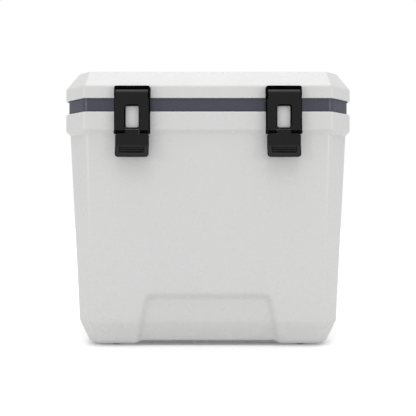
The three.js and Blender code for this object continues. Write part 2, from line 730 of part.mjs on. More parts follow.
/** Lever: a knuckle between the frame's legs, a flat upper half and a flared, ribbed grip. */
function makeLever() {
  const { y, z, knuckle, pin, front, thick, top } = LEVER;
  const { start, bottom, front: lip, halfWidth, halfTop } = LEVER_GRIP;
  const section = polygon([[front, top], [front, start], [lip, bottom], [lip + thick, bottom],
    [front + thick, start - 4], [front + thick, top]]);
  const blade = extrudeX(section, [-halfWidth, halfWidth]);
  const sideRelief = [-1, 1].map((side) => {
    const span = side > 0 ? [halfTop, 40] : [-40, -halfTop];
    return box(span, [front - 5, front + 15], [352.5, top + 10]);
  });
  const knuckleHalf = LATCH.windowHalf;
  const tongue = join([
    rodX(knuckle, [-knuckleHalf, knuckleHalf], y, z),
    box([-knuckleHalf, knuckleHalf], [front, y + knuckle], [top - 3, z]),
  ]);
  const ribs = [333.4, 329.6, 325.8].map((height) => {
    const depth = front + ((start - height) / (start - bottom)) * (lip - front);
    return box([-20, 20], [depth - 3, depth + 0.8], [height - 0.9, height + 0.9]);
  });
  const bore = rodX(pin + GAP, [-50, 50], y, z, 12);
  return cut(join([blade, tongue]), [bore, ...sideRelief, ...ribs]);
}

/** Pin with an upset head at each end. */
function makePin(radius, head, half, y, z) {
  const end = half + 0.9;
  return turnedX([[-end, 0], [-end, head], [-half - 0.1, head], [-half - 0.1, radius],
    [half + 0.1, radius], [half + 0.1, head], [end, head], [end, 0]], y, z, 12);
}

function addLatches() {
  const inwards = new THREE.Vector3(0, -1, 0);
  for (const [side, name] of [[-1, 'left'], [1, 'right']]) {
    const x = side * LATCH_X;
    addPiece(`latch_${name}_bracket`, makeBracket(), 'bracket').position.x = x;
    const hanger = turnedX([[-28.7, 0], [-28.7, HANGER.pin], [28.7, HANGER.pin], [28.7, 0]],
      HANGER.y, HANGER.z, 16);
    addPiece(`latch_${name}_hanger_pin`, hanger, 'steel').position.x = x;
    addPiece(`latch_${name}_frame`, makeFrame(), 'latch').position.x = x;
    const leverPin = makePin(LEVER.pin, 2.1, LATCH.halfWidth + 0.2, LEVER.y, LEVER.z);
    addPiece(`latch_${name}_lever_pin`, leverPin, 'bracket').position.x = x;
    addPiece(`latch_${name}_lever`, makeLever(), 'latch').position.x = x;
    for (const [offset, end] of [[-1, 'a'], [1, 'b']]) {
      const seat = BRACKET.back - BRACKET.plate + 1.2;
      const place = new THREE.Vector3(x + offset * BRACKET_SCREW_X, seat, HANGER.z);
      const size = { head: 2.0, rise: 0.9, shank: 1.2, length: 4.6 };
      addScrew(`latch_${name}_bracket_screw_${end}`, place, inwards, size);
    }
  }
}

addTub();
addDrain();
addLid();
addHinges();
addLatches();

export default cooler;
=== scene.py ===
"""Cooler chest: the finished surfaces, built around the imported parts.

Every length is in metres. The front faces -Y, +X is the right-hand side and Z = 0 is the floor.
"""

import json
import logging
import math
from collections.abc import Callable, Iterable, Sequence
from dataclasses import dataclass
from enum import Enum

import bmesh
import bpy
from mathutils import Matrix, Vector


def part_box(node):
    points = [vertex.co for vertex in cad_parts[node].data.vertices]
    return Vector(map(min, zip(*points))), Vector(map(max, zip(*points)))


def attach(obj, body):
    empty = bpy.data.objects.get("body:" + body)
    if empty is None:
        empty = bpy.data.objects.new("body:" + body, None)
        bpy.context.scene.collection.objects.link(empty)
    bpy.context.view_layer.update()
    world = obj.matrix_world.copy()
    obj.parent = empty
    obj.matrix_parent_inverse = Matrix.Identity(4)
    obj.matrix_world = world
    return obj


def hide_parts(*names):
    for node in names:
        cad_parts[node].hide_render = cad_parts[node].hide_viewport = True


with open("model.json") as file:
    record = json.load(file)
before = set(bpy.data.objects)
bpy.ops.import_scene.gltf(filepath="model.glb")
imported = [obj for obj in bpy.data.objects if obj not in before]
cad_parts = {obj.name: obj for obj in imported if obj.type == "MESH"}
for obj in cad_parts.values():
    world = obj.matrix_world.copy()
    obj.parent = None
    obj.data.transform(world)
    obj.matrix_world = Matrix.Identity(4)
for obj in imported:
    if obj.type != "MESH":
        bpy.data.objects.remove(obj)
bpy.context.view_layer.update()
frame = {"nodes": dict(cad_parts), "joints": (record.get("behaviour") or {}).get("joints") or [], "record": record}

BODY_OF = {node: body for body, nodes in frame["record"]["behaviour"]["bodies"].items() for node in nodes}
SLOT_OF = {part["node"]: part["material_slot"] for part in frame["record"]["subparts"]}
JOINTS = {joint["name"]: joint for joint in frame["joints"]}
LOG = logging.getLogger("cooler_chest")
CRISP_FOLD = math.radians(38.0)  # folds sharper than this stay crisp
HAIR = 4e-6  # points of one piece that are closer than this are one point

FACET_SHRINK = 2 - math.sqrt(2)  # how much a corner facet shrinks for each unit of inset
Loop = list[bmesh.types.BMEdge]
Knots = tuple[tuple[float, float], ...]


class Hand(Enum):
    """Which side of the chest a piece is on."""

    LEFT = "left"
    RIGHT = "right"


# ---------------------------------------------------------------- finishes


class Graph:
    """A material's node tree, with short calls to add and join nodes."""

    def __init__(self, name: str) -> None:
        """Starts an empty tree with a shader, an output and the piece's own coordinates.

        Args:
            name: name of the material.
        """
        self.material = bpy.data.materials.new(name)
        self.material.use_nodes = True
        self.tree = self.material.node_tree
        self.tree.nodes.clear()
        self.shader = self.add("ShaderNodeBsdfPrincipled")
        output = self.add("ShaderNodeOutputMaterial")
        self.tree.links.new(self.shader.outputs["BSDF"], output.inputs["Surface"])
        self.place = self.add("ShaderNodeTexCoord").outputs["Object"]

    def add(self, kind: str, **settings: object) -> bpy.types.Node:
        """Adds a node.

        Args:
            kind: Blender's name of the node's type.
            settings: attributes of the node and their values.

        Returns:
            The node.
        """
        node = self.tree.nodes.new(kind)
        for key, value in settings.items():
            setattr(node, key, value)
        return node

    def join(self, source: bpy.types.NodeSocket, target: bpy.types.NodeSocket) -> None:
        """Joins one socket to another."""
        self.tree.links.new(source, target)

    def noise(self, size: float, detail: float = 2.0, stretch: tuple[float, float, float] = (1, 1, 1)
              ) -> bpy.types.NodeSocket:
        """Adds a noise pattern on the piece's own coordinates.

        Args:
            size: size of one feature.
            detail: octaves of finer noise.
            stretch: how many times finer the pattern is along each axis.

        Returns:
            The pattern's value, from 0 to 1.
        """
        mapping = self.add("ShaderNodeMapping")
        mapping.inputs["Scale"].default_value = stretch
        self.join(self.place, mapping.inputs["Vector"])
        node = self.add("ShaderNodeTexNoise")
        node.inputs["Scale"].default_value = 1.0 / size
        node.inputs["Detail"].default_value = detail
        self.join(mapping.outputs["Vector"], node.inputs["Vector"])
        return node.outputs["Fac"]

    def remap(self, value: bpy.types.NodeSocket, source: tuple[float, float],
              target: tuple[float, float]) -> bpy.types.NodeSocket:
        """Maps a value from one range to another, smoothly and within the ends.

        Args:
            value: the value.
            source: the two ends that it comes from.
            target: the two ends that it goes to.

        Returns:
            The mapped value.
        """
        node = self.add("ShaderNodeMapRange", interpolation_type="SMOOTHSTEP", clamp=True)
        node.inputs["From Min"].default_value, node.inputs["From Max"].default_value = source
        node.inputs["To Min"].default_value, node.inputs["To Max"].default_value = target
        self.join(value, node.inputs["Value"])
        return node.outputs["Result"]

    def math(self, operation: str, first: bpy.types.NodeSocket, second: bpy.types.NodeSocket | float
             ) -> bpy.types.NodeSocket:
        """Combines two values.

        Args:
            operation: Blender's name of the sum.
            first: the first value.
            second: the second value, as a socket or a number.

        Returns:
            The result.
        """
        node = self.add("ShaderNodeMath", operation=operation)
        self.join(first, node.inputs[0])
        if isinstance(second, float):
            node.inputs[1].default_value = second
        else:
            self.join(second, node.inputs[1])
        return node.outputs["Value"]

    def blend(self, share: bpy.types.NodeSocket, first: object, second: object) -> bpy.types.NodeSocket:
        """Mixes two colours.

        Args:
            share: share of the second colour.
            first: the first colour, as a socket or an RGB triple.
            second: the second colour, in either form.

        Returns:
            The mixed colour.
        """
        node = self.add("ShaderNodeMix", data_type="RGBA")
        self.join(share, node.inputs["Factor"])
        colour_inputs = [socket for socket in node.inputs if socket.type == "RGBA"]
        for socket, colour in zip(colour_inputs, (first, second)):
            if isinstance(colour, bpy.types.NodeSocket):
                self.join(colour, socket)
            else:
                socket.default_value = (*colour, 1.0)
        return next(socket for socket in node.outputs if socket.type == "RGBA")

    def bump(self, height: bpy.types.NodeSocket, depth: float, strength: float = 1.0) -> None:
        """Roughens the surface by a pattern.

        Args:
            height: the pattern.
            depth: how deep it is.
            strength: how strongly it shows, from 0 to 1.
        """
        node = self.add("ShaderNodeBump")
        node.inputs["Strength"].default_value = strength
        node.inputs["Distance"].default_value = depth
        self.join(height, node.inputs["Height"])
        self.join(node.outputs["Normal"], self.shader.inputs["Normal"])


def toned(colour: tuple[float, float, float], share: float) -> tuple[float, float, float]:
    """A colour made lighter or darker by a share."""
    return tuple(min(1.0, channel * share) for channel in colour)


@dataclass(frozen=True)
class MouldedPlastic:
    """Moulded plastic with a fine spark-eroded grain, faint flow marks and rubbed scuffs.

    Attributes:
        name: name of the material.
        colour: linear RGB.
        roughness: mean roughness.
        specular: specular level on the shader's own socket.
        grain: size of the grain.
        grain_depth: depth of the grain.
        mottle: how far the colour wanders, as a share.
        scuff_colour: colour of the rubbed scuffs.
        scuff: how strongly scuffs show, from 0 to 1.
        scuff_top: scuffs fade out above this height; 0 lets them run all over.
    """

    name: str
    colour: tuple[float, float, float]
    roughness: float
    specular: float = 0.5
    grain: float = 0.0011
    grain_depth: float = 0.00006
    mottle: float = 0.015
    scuff_colour: tuple[float, float, float] = (0.3, 0.3, 0.29)
    scuff: float = 0.25
    scuff_top: float = 0.0

    def material(self) -> bpy.types.Material:
        """Builds the material.

        Returns:
            The material.
        """
        graph = Graph(self.name)
        shader = graph.shader
        shader.inputs["Specular IOR Level"].default_value = self.specular
        flow = graph.noise(0.11, 3.0, (1.0, 1.0, 0.45))
        tone = graph.blend(flow, toned(self.colour, 1 - self.mottle), toned(self.colour, 1 + self.mottle))
        strokes = graph.remap(graph.noise(0.012, 4.0, (0.35, 1.0, 2.6)), (0.66, 0.78), (0.0, self.scuff))
        patches = graph.remap(graph.noise(0.07, 2.0), (0.48, 0.68), (0.0, 1.0))
        scuffs = graph.math("MULTIPLY", strokes, patches)
        if self.scuff_top:
            split = graph.add("ShaderNodeSeparateXYZ")
            graph.join(graph.place, split.inputs["Vector"])
            low = graph.remap(split.outputs["Z"], (0.0, self.scuff_top), (1.0, 0.06))
            scuffs = graph.math("MULTIPLY", scuffs, low)
        graph.join(graph.blend(scuffs, tone, self.scuff_colour), shader.inputs["Base Color"])
        wander = graph.remap(graph.noise(0.035, 3.0), (0.3, 0.7),
                             (self.roughness - 0.04, self.roughness + 0.05))
        rough = graph.math("ADD", wander, graph.math("MULTIPLY", scuffs, 0.2))
        graph.join(rough, shader.inputs["Roughness"])
        grain = graph.noise(self.grain, 2.0)
        graph.bump(graph.math("ADD", grain, graph.math("MULTIPLY", scuffs, 0.2)), self.grain_depth)
        return graph.material


@dataclass(frozen=True)
class Rubber:
    """Matt rubber with a dusty bloom and a soft pebbled skin.

    Attributes:
        name: name of the material.
        colour: linear RGB.
        roughness: mean roughness.
    """

    name: str
    colour: tuple[float, float, float]
    roughness: float = 0.82

    def material(self) -> bpy.types.Material:
        """Builds the material.

        Returns:
            The material.
        """
        graph = Graph(self.name)
        graph.shader.inputs["Specular IOR Level"].default_value = 0.3
        bloom = graph.remap(graph.noise(0.009, 4.0), (0.45, 0.75), (0.0, 1.0))
        dusty = graph.blend(bloom, self.colour, toned(self.colour, 2.1))
        graph.join(dusty, graph.shader.inputs["Base Color"])
        rough = graph.remap(graph.noise(0.004, 2.0), (0.3, 0.7),
                            (self.roughness - 0.08, self.roughness + 0.08))
        graph.join(rough, graph.shader.inputs["Roughness"])
        graph.bump(graph.noise(0.0007, 2.0), 0.00008)
        return graph.material


@dataclass(frozen=True)
class BrushedSteel:
    """Stainless steel with fine turning marks and a few dull spots.

    Attributes:
        name: name of the material.
        colour: linear RGB.
        roughness: mean roughness.
    """

    name: str
    colour: tuple[float, float, float]
    roughness: float = 0.3

    def material(self) -> bpy.types.Material:
        """Builds the material.

        Returns:
            The material.
        """
        graph = Graph(self.name)
        graph.shader.inputs["Metallic"].default_value = 1.0
        dull = graph.remap(graph.noise(0.003, 4.0), (0.5, 0.8), (0.0, 0.5))
        spotted = graph.blend(dull, self.colour, toned(self.colour, 0.6))
        graph.join(spotted, graph.shader.inputs["Base Color"])
        marks = graph.noise(0.0012, 2.0, (0.2, 3.0, 3.0))
        rough = graph.remap(marks, (0.25, 0.75), (self.roughness - 0.08, self.roughness + 0.14))
        graph.join(rough, graph.shader.inputs["Roughness"])
        graph.bump(marks, 0.00002)
        return graph.material


@dataclass(frozen=True)
class RigidFoam:
    """Cut rigid foam: pale, matt and pitted with open cells.

    Attributes:
        name: name of the material.
        colour: linear RGB.
        cell: size of one cell.
    """

    name: str
    colour: tuple[float, float, float]
    cell: float = 0.0016

    def material(self) -> bpy.types.Material:
        """Builds the material.

        Returns:
            The material.
        """
        graph = Graph(self.name)
        graph.shader.inputs["Specular IOR Level"].default_value = 0.15
        cells = graph.add("ShaderNodeTexVoronoi", feature="F1")
        cells.inputs["Scale"].default_value = 1.0 / self.cell
        graph.join(graph.place, cells.inputs["Vector"])
        pits = graph.remap(cells.outputs["Distance"], (0.1, 0.7), (0.0, 1.0))
        pitted = graph.blend(pits, toned(self.colour, 0.72), self.colour)
        graph.join(pitted, graph.shader.inputs["Base Color"])
        graph.join(graph.remap(pits, (0.0, 1.0), (0.98, 0.86)), graph.shader.inputs["Roughness"])
        graph.bump(pits, 0.0003)
        return graph.material


class FinishShelf:
    """The chest's finishes, one material for each of the record's slots."""

    def __init__(self) -> None:
        """Builds every material once."""
        finishes = {
            "white_shell": MouldedPlastic("white_shell", (0.464, 0.464, 0.462), 0.28, 0.45,
                                          scuff=0.08, scuff_top=0.14),
            "slate_band": MouldedPlastic("slate_band", (0.034, 0.035, 0.053), 0.24, 0.42,
                                         scuff_colour=(0.09, 0.09, 0.11), scuff=0.18),
            "liner_white": MouldedPlastic("liner_white", (0.72, 0.72, 0.70), 0.34, 0.5, grain=0.0024,
                                          grain_depth=0.00004, scuff=0.12),
            "latch_black": MouldedPlastic("latch_black", (0.0045, 0.0045, 0.0047), 0.32, 0.165,
                                          scuff_colour=(0.02, 0.02, 0.02), scuff=0.25, mottle=0.08),
            # black plastic, but made darker and duller than the latch so that it also paints the shade in the lid
            # pocket above the frame, and on the faces it is trimmed onto: part own colour, part painted shade
            "latch_bracket": MouldedPlastic("latch_bracket", (0.0009, 0.0009, 0.0010), 0.85, 0.02,
                                            scuff_colour=(0.01, 0.01, 0.01), scuff=0.1, mottle=0.06),
            "black_fitting": MouldedPlastic("black_fitting", (0.012, 0.012, 0.0125), 0.48, 0.3,
                                            scuff_colour=(0.05, 0.05, 0.05), scuff=0.25, mottle=0.08),
            "seal_rubber": Rubber("seal_rubber", (0.018, 0.018, 0.019)),
            "foot_rubber": Rubber("foot_rubber", (0.022, 0.022, 0.023), 0.88),
            "stainless_steel": BrushedSteel("stainless_steel", (0.56, 0.56, 0.55)),
            "insulation": RigidFoam("insulation", (0.78, 0.68, 0.44)),
        }
        self.materials = {slot: finish.material() for slot, finish in finishes.items()}

    def dress(self, piece: bpy.types.Object, slot: str) -> None:
        """Gives a piece the material of one slot."""
        piece.data.materials.clear()
        piece.data.materials.append(self.materials[slot])

    def trim(self, piece: bpy.types.Object, slot: str,
             wanted: Callable[[bpy.types.MeshPolygon], bool]) -> None:
        """Gives some faces of a piece a second material.

        Args:
            piece: the piece, dressed already.
            slot: slot of the second material.
            wanted: test that picks the faces.
        """
        piece.data.materials.append(self.materials[slot])
        for polygon in piece.data.polygons:
            if wanted(polygon):
                polygon.material_index = 1


# ---------------------------------------------------------------- shaping tools


@dataclass(frozen=True)
class Level:
    """One height of a moulding with cut corners.

    Attributes:
        z: height.
        inset: how far the outline is in from the rim's own outline.
        cut: size of the corner facet, measured along each side.
        soften: how far the fold at this level is rounded, along the section.
    """

    z: float
    inset: float
    cut: float
    soften: float = 0.0


def softened(levels: Sequence[Level], steps: int = 4) -> list[Level]:
    """Rounds the folds of a section by short curves.

    Args:
        levels: the section's folds in order.
        steps: spans in each curve.

    Returns:
        The section with every softened fold replaced by points of a curve.
    """
    points = [Vector((level.z, level.inset, level.cut)) for level in levels]
    result = []
    for i, level in enumerate(levels):
        if level.soften == 0.0:
            result.append(level)
            continue
        back, onward = points[i - 1] - points[i], points[(i + 1) % len(points)] - points[i]
        start = points[i] + back * min(0.48, level.soften / back.xy.length)
        end = points[i] + onward * min(0.48, level.soften / onward.xy.length)
        for step in range(steps + 1):
            t = step / steps
            point = start * (1 - t) ** 2 + points[i] * 2 * t * (1 - t) + end * t ** 2
            result.append(Level(point.x, point.y, point.z))
    return result


def once(parts: Iterable[object]) -> list:
    """Lists each part once, in the order in which it first comes."""
    return list(dict.fromkeys(parts))


def lay_loop(bm: bmesh.types.BMesh, corners: Sequence[Vector], reach: float, segments: int) -> Loop:
    """Lays a closed loop of edges through some corners, and rounds each corner.

    Args:
        bm: mesh that has no faces yet.
        corners: the corners in order.
        reach: how far along each side the rounding starts.
        segments: spans in each rounded corner.

    Returns:
        The loop's edges.
    """
    verts = [bm.verts.new(corner) for corner in corners]
    bm.faces.new(verts)
    bmesh.ops.bevel(bm, geom=verts, offset=reach, offset_type="OFFSET", segments=segments, profile=0.5,
                    affect="VERTICES", material=-1)
    bm.faces.ensure_lookup_table()
    face = bm.faces[0]
    edges = list(face.edges)
    bmesh.ops.delete(bm, geom=[face], context="FACES_ONLY")
    return edges


def bridge(bm: bmesh.types.BMesh, loops: Sequence[Loop], closed: bool = False) -> None:
    """Joins loops in order by bands of faces.

    Args:
        bm: the mesh.
        loops: loops that have the same number of edges.
        closed: whether the last loop joins the first.
    """
    ends = list(loops[1:]) + ([loops[0]] if closed else [])
    apart = Vector((0, 0, 0.5))  # loops at one height are told apart while they are joined
    for first, second in zip(loops, ends):
        verts = once(vert for edge in second for vert in edge.verts)
        bmesh.ops.translate(bm, verts=verts, vec=apart)
        bmesh.ops.bridge_loops(bm, edges=first + second)
        bmesh.ops.translate(bm, verts=verts, vec=-apart)


def cap(bm: bmesh.types.BMesh, loop: Loop) -> None:
    """Closes a loop by one face."""
    bmesh.ops.edgeloop_fill(bm, edges=loop)


def share_at(knots: Knots, place: float) -> float:
    """Reads a line through knots at one place.

    Args:
        knots: pairs (place, value) in order.
        place: where the line is read.

    Returns:
        The value there.
    """
    for (x0, y0), (x1, y1) in zip(knots, knots[1:]):
        if place <= x1:
            return y0 + (y1 - y0) * max(0.0, place - x0) / (x1 - x0)
    return knots[-1][1]


def pocket_section(ramp: float, depth: float, lip: float, foot: float, steps: int = 3) -> Knots:
    """Section of a pocket's side: a rolled lip, a straight flank and a rounded foot.

    Args:
        ramp: width of the side, seen square to the wall.
        depth: depth of the pocket.
        lip: radius of the lip.
        foot: radius of the foot.
        steps: spans in each curve.

    Returns:
        Pairs of the share of the ramp's width and the share of the depth.
    """
    turns = [math.pi / 2 * step / steps for step in range(steps + 1)]
    knots = [(lip * math.sin(a), lip * (1 - math.cos(a))) for a in turns]
    knots += [(ramp - foot + foot * (1 - math.cos(a)), depth - foot + foot * math.sin(a)) for a in turns]
    return tuple((x / ramp, y / depth) for x, y in knots)


OPEN_END = 0.02  # how far the open side of a pocket runs past the wall's edge
SOFT_STEP: Knots = tuple((t / 6, (t / 6) ** 2 * (3 - t / 3)) for t in range(7))


@dataclass(frozen=True)
class Mouth:
    """Outline of a pocket: straight sides joined by arcs, seen square to the wall.

    Attributes:
        corners: the corners, counter-clockwise, as pairs (across, up).
        radius: radius of the arcs.
        ramps: width of the slope inside each side; a side with none stays open.
        across: direction of the first number of a pair; the second is up.
        arc_steps: tangents in each arc.
    """

    corners: tuple[tuple[float, float], ...]
    radius: float
    ramps: tuple[float, ...]
    across: Vector
    arc_steps: int = 3

    def sides(self) -> list[tuple[Vector, Vector, float]]:
        """Lists the lines that bound the mouth.

        Returns:
            A point, the inward direction and the slope's width of each side and arc tangent.
        """
        up = Vector((0, 0, 1))
        flat = [Vector(corner) for corner in self.corners]
        count = len(flat)
        inwards = []
        for i in range(count):
            along = (flat[(i + 1) % count] - flat[i]).normalized()
            inwards.append(Vector((-along.y, along.x)))
        found = []
        for i in range(count):
            if self.ramps[i] > 0:
                found.append((flat[i], inwards[i], self.ramps[i]))
            if self.ramps[i] == 0 or self.ramps[i - 1] == 0:
                continue
            turn = inwards[i - 1].angle(inwards[i])
            centre = flat[i] + (inwards[i - 1] + inwards[i]) * (self.radius / (1 + math.cos(turn)))
            for step in range(1, self.arc_steps + 1):
                share = step / (self.arc_steps + 1)
                inward = inwards[i - 1].slerp(inwards[i], share)
                ramp = self.ramps[i - 1] * (1 - share) + self.ramps[i] * share
                found.append((centre - inward * self.radius, inward, ramp))
        return [(self.across * p.x + up * p.y, self.across * n.x + up * n.y, ramp) for p, n, ramp in found]


def split(bm: bmesh.types.BMesh, faces: Sequence[bmesh.types.BMFace], place: Vector, normal: Vector
          ) -> list[bmesh.types.BMFace]:
    """Cuts some faces along a plane.

    Args:
        bm: the mesh.
        faces: the faces to cut.
        place: a point of the plane.
        normal: the plane's direction.

    Returns:
        The faces after the cut, on both sides.
    """
    geom = once(part for face in faces for part in (face, *face.edges, *face.verts))
    result = bmesh.ops.bisect_plane(bm, geom=geom, dist=1e-6, plane_co=place, plane_no=normal)
    return [part for part in result["geom"] if isinstance(part, bmesh.types.BMFace)]


def press(bm: bmesh.types.BMesh, faces: Sequence[bmesh.types.BMFace], mouth: Mouth, section: Knots,
          move: Callable[[Vector, float], Vector], margin: float = 0.004) -> None:
    """Presses a pocket into some faces.

    Args:
        bm: the mesh.
        faces: the wall's faces.
        mouth: outline of the pocket on the wall.
        section: section of the pocket's sides.
        move: gives where a point goes for a share of the depth.
        margin: how far round the mouth the wall is divided.
    """
    spans = [[pair[k] for pair in mouth.corners] for k in (0, 1)]
    local = list(faces)
    for axis, values in zip((mouth.across, Vector((0, 0, 1))), spans):
        low, high = min(values) - margin, max(values) + margin
        for place in (low, high):
            local = split(bm, local, axis * place, axis)
        local = [face for face in local if low < face.calc_center_median().dot(axis) < high]
    sides = mouth.sides()
    for point, inward, ramp in sides:
        for share, _depth in section:
            local = split(bm, local, point + inward * (ramp * share), inward)
    for vert in once(vert for face in local for vert in face.verts):
        inside = min((vert.co - point).dot(inward) / ramp for point, inward, ramp in sides)
        if inside > 0:
            vert.co = move(vert.co, share_at(section, min(1.0, inside)))


def turned(bm: bmesh.types.BMesh, outline: Sequence[tuple[float, float]], place: Vector, axis: Vector,
           steps: int = 40) -> None:
    """Spins an outline of (radius, distance along the axis) points into a closed solid of revolution.

    Args:
        bm: the mesh to add to.
        outline: the points, from end to end; a radius of 0 closes the shape on its axis.
        place: where distance 0 is.
        axis: unit vector of the axis.
        steps: spans round the circle.
    """
    across = axis.orthogonal().normalized()
    verts = [bm.verts.new(place + axis * along + across * radius) for radius, along in outline]
    pairs = list(zip(verts, verts[1:]))
    if outline[0][0] > 0:
        pairs.append((verts[-1], verts[0]))
    edges = [bm.edges.new(pair) for pair in pairs]
    bmesh.ops.spin(bm, geom=verts + edges, cent=place, axis=axis, angle=math.tau, steps=steps,
                   use_merge=True)
    bmesh.ops.remove_doubles(bm, verts=bm.verts, dist=1e-6)


def dome(radius: float, low: float, high: float, steps: int = 5) -> list[tuple[float, float]]:
    """Points of a domed end, from its edge at one distance to its crown at another."""
    turns = [math.pi / 2 * step / steps for step in range(steps + 1)]
    return [(radius * math.cos(a) if step < steps else 0.0, low + (high - low) * math.sin(a))
            for step, a in enumerate(turns)]


def rounded_bar(bm: bmesh.types.BMesh, low: Vector, high: Vector, radius: float, segments: int = 3) -> None:
    """Adds a block between two corners, with every edge rounded.

    Args:
        bm: the mesh to add to.
        low: lowest corner.
        high: highest corner.
        radius: radius of the edges.
        segments: spans in each rounded edge.
    """
    size, middle = high - low, (low + high) / 2
    placed = Matrix.Translation(middle) @ Matrix.Diagonal((*size, 1))
    made = bmesh.ops.create_cube(bm, size=1.0, matrix=placed)
    edges = once(edge for vert in made["verts"] for edge in vert.link_edges)
    bmesh.ops.bevel(bm, geom=edges, offset=radius, offset_type="OFFSET", segments=segments, profile=0.5,
                    affect="EDGES", material=-1)


def merged_copy(node: str) -> bmesh.types.BMesh:
    """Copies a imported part's mesh, merges its loose triangles and clears the seams of its flat faces.

    Args:
        node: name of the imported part.

    Returns:
        The copy.
    """
    bm = bmesh.new()
    bm.from_mesh(frame["nodes"][node].data)
    bmesh.ops.remove_doubles(bm, verts=bm.verts, dist=2e-6)
    bmesh.ops.dissolve_limit(bm, angle_limit=math.radians(1.0), verts=bm.verts, edges=bm.edges)
    return bm


def round_edges(bm: bmesh.types.BMesh, wanted: Callable[[bmesh.types.BMEdge], bool], radius: float,
                segments: int = 4) -> None:
    """Rounds some edges.

    Args:
        bm: the mesh.
        wanted: test that picks the edges.
        radius: radius of the rounding.
        segments: spans in each rounded edge.
    """
    edges = [edge for edge in bm.edges if wanted(edge)]
    bmesh.ops.bevel(bm, geom=edges, offset=radius, offset_type="OFFSET", segments=segments, profile=0.5,
                    affect="EDGES", material=-1)


def slice_off(bm: bmesh.types.BMesh, place: Vector, normal: Vector) -> None:
    """Cuts off what lies beyond a plane and closes the cut.

    Args:
        bm: a closed mesh.
        place: a point of the plane.
        normal: unit vector towards the side that goes.
    """
    cut = bmesh.ops.bisect_plane(bm, geom=[*bm.verts, *bm.edges, *bm.faces], dist=1e-6, plane_co=place,
                                 plane_no=normal, clear_outer=True)
    rim = [part for part in cut["geom_cut"] if isinstance(part, bmesh.types.BMEdge)]
    bmesh.ops.holes_fill(bm, edges=rim)


def near(first: float, second: float, within: float = 1e-4) -> bool:
    """Whether two lengths are the same, within a hair."""
    return abs(first - second) < within


def runs_along(edge: bmesh.types.BMEdge, axis: int) -> bool:
    """Whether an edge is parallel to one axis."""
    along = edge.verts[1].co - edge.verts[0].co
    return abs(along[axis]) > 0.999 * along.length


def node_middle(node: str) -> Vector:
    """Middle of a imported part's box."""
    low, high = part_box(node)
    return (low + high) / 2


def headed_pin(node: str, end: Sequence[tuple[float, float]], steps: int) -> bmesh.types.BMesh:
    """Turns a pin along X that has the same shape at both ends.

    Args:
        node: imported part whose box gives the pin's middle.
        end: outline of its far end, as pairs (radius, distance from the middle).
        steps: spans round the circle.

    Returns:
        The pin's mesh.
    """
    bm = bmesh.new()
    mirrored = [(radius, -along) for radius, along in reversed(end)]
    turned(bm, [*mirrored, *end], node_middle(node), Vector((1, 0, 0)), steps)
    return bm


class Bench:
    """Turns finished meshes into pieces of the chest."""

    def __init__(self, shelf: FinishShelf) -> None:
        """Keeps the shelf of finishes."""
        self.shelf = shelf
        self.count = 0

    def piece(self, name: str, bm: bmesh.types.BMesh, node: str, wall: float = 0.0, bevel: float = 0.0,
              stands_for: bool = True) -> bpy.types.Object:
        """Makes a piece from a mesh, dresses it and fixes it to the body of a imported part.

        Args:
            name: name of the piece.
            bm: its mesh, which is used up.
            node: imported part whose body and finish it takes.
            wall: thickness given to an open skin, inwards.
            bevel: width of the small bevels on sharp edges.
            stands_for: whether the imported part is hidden.

        Returns:
            The piece.
        """
        bmesh.ops.remove_doubles(bm, verts=bm.verts, dist=HAIR)
        bmesh.ops.dissolve_degenerate(bm, dist=HAIR, edges=bm.edges)
        bmesh.ops.recalc_face_normals(bm, faces=bm.faces)
        if bm.calc_volume(signed=True) < 0:
            bmesh.ops.reverse_faces(bm, faces=bm.faces)
        mesh = bpy.data.meshes.new(name)
        bm.to_mesh(mesh)
        bm.free()
        mesh.shade_smooth()
        mesh.set_sharp_from_angle(angle=CRISP_FOLD)
        piece = bpy.data.objects.new(name, mesh)
        bpy.context.scene.collection.objects.link(piece)
        if wall:
            solidify = piece.modifiers.new("wall", "SOLIDIFY")
            solidify.thickness = wall
            solidify.offset = -1.0
        if bevel:
            edge = piece.modifiers.new("edges", "BEVEL")
            edge.width = bevel
            edge.segments = 3
            edge.limit_method = "ANGLE"
            edge.angle_limit = CRISP_FOLD
            edge.harden_normals = False
        weighted = piece.modifiers.new("normals", "WEIGHTED_NORMAL")
        weighted.keep_sharp = True
        weighted.weight = 100
        self.shelf.dress(piece, SLOT_OF[node])
        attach(piece, BODY_OF[node])
        if stands_for:
            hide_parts(node)
        self.count += 1
        LOG.info("%s: %d faces, rides on %s", name, len(mesh.polygons), BODY_OF[node])
        return piece

    def keep(self, node: str) -> None:
        """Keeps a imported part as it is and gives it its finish.

        Args:
            node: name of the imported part.
        """
        self.shelf.dress(frame["nodes"][node], SLOT_OF[node])
        self.count += 1
        LOG.info("%s: packed part, dressed", node)


# ---------------------------------------------------------------- tub


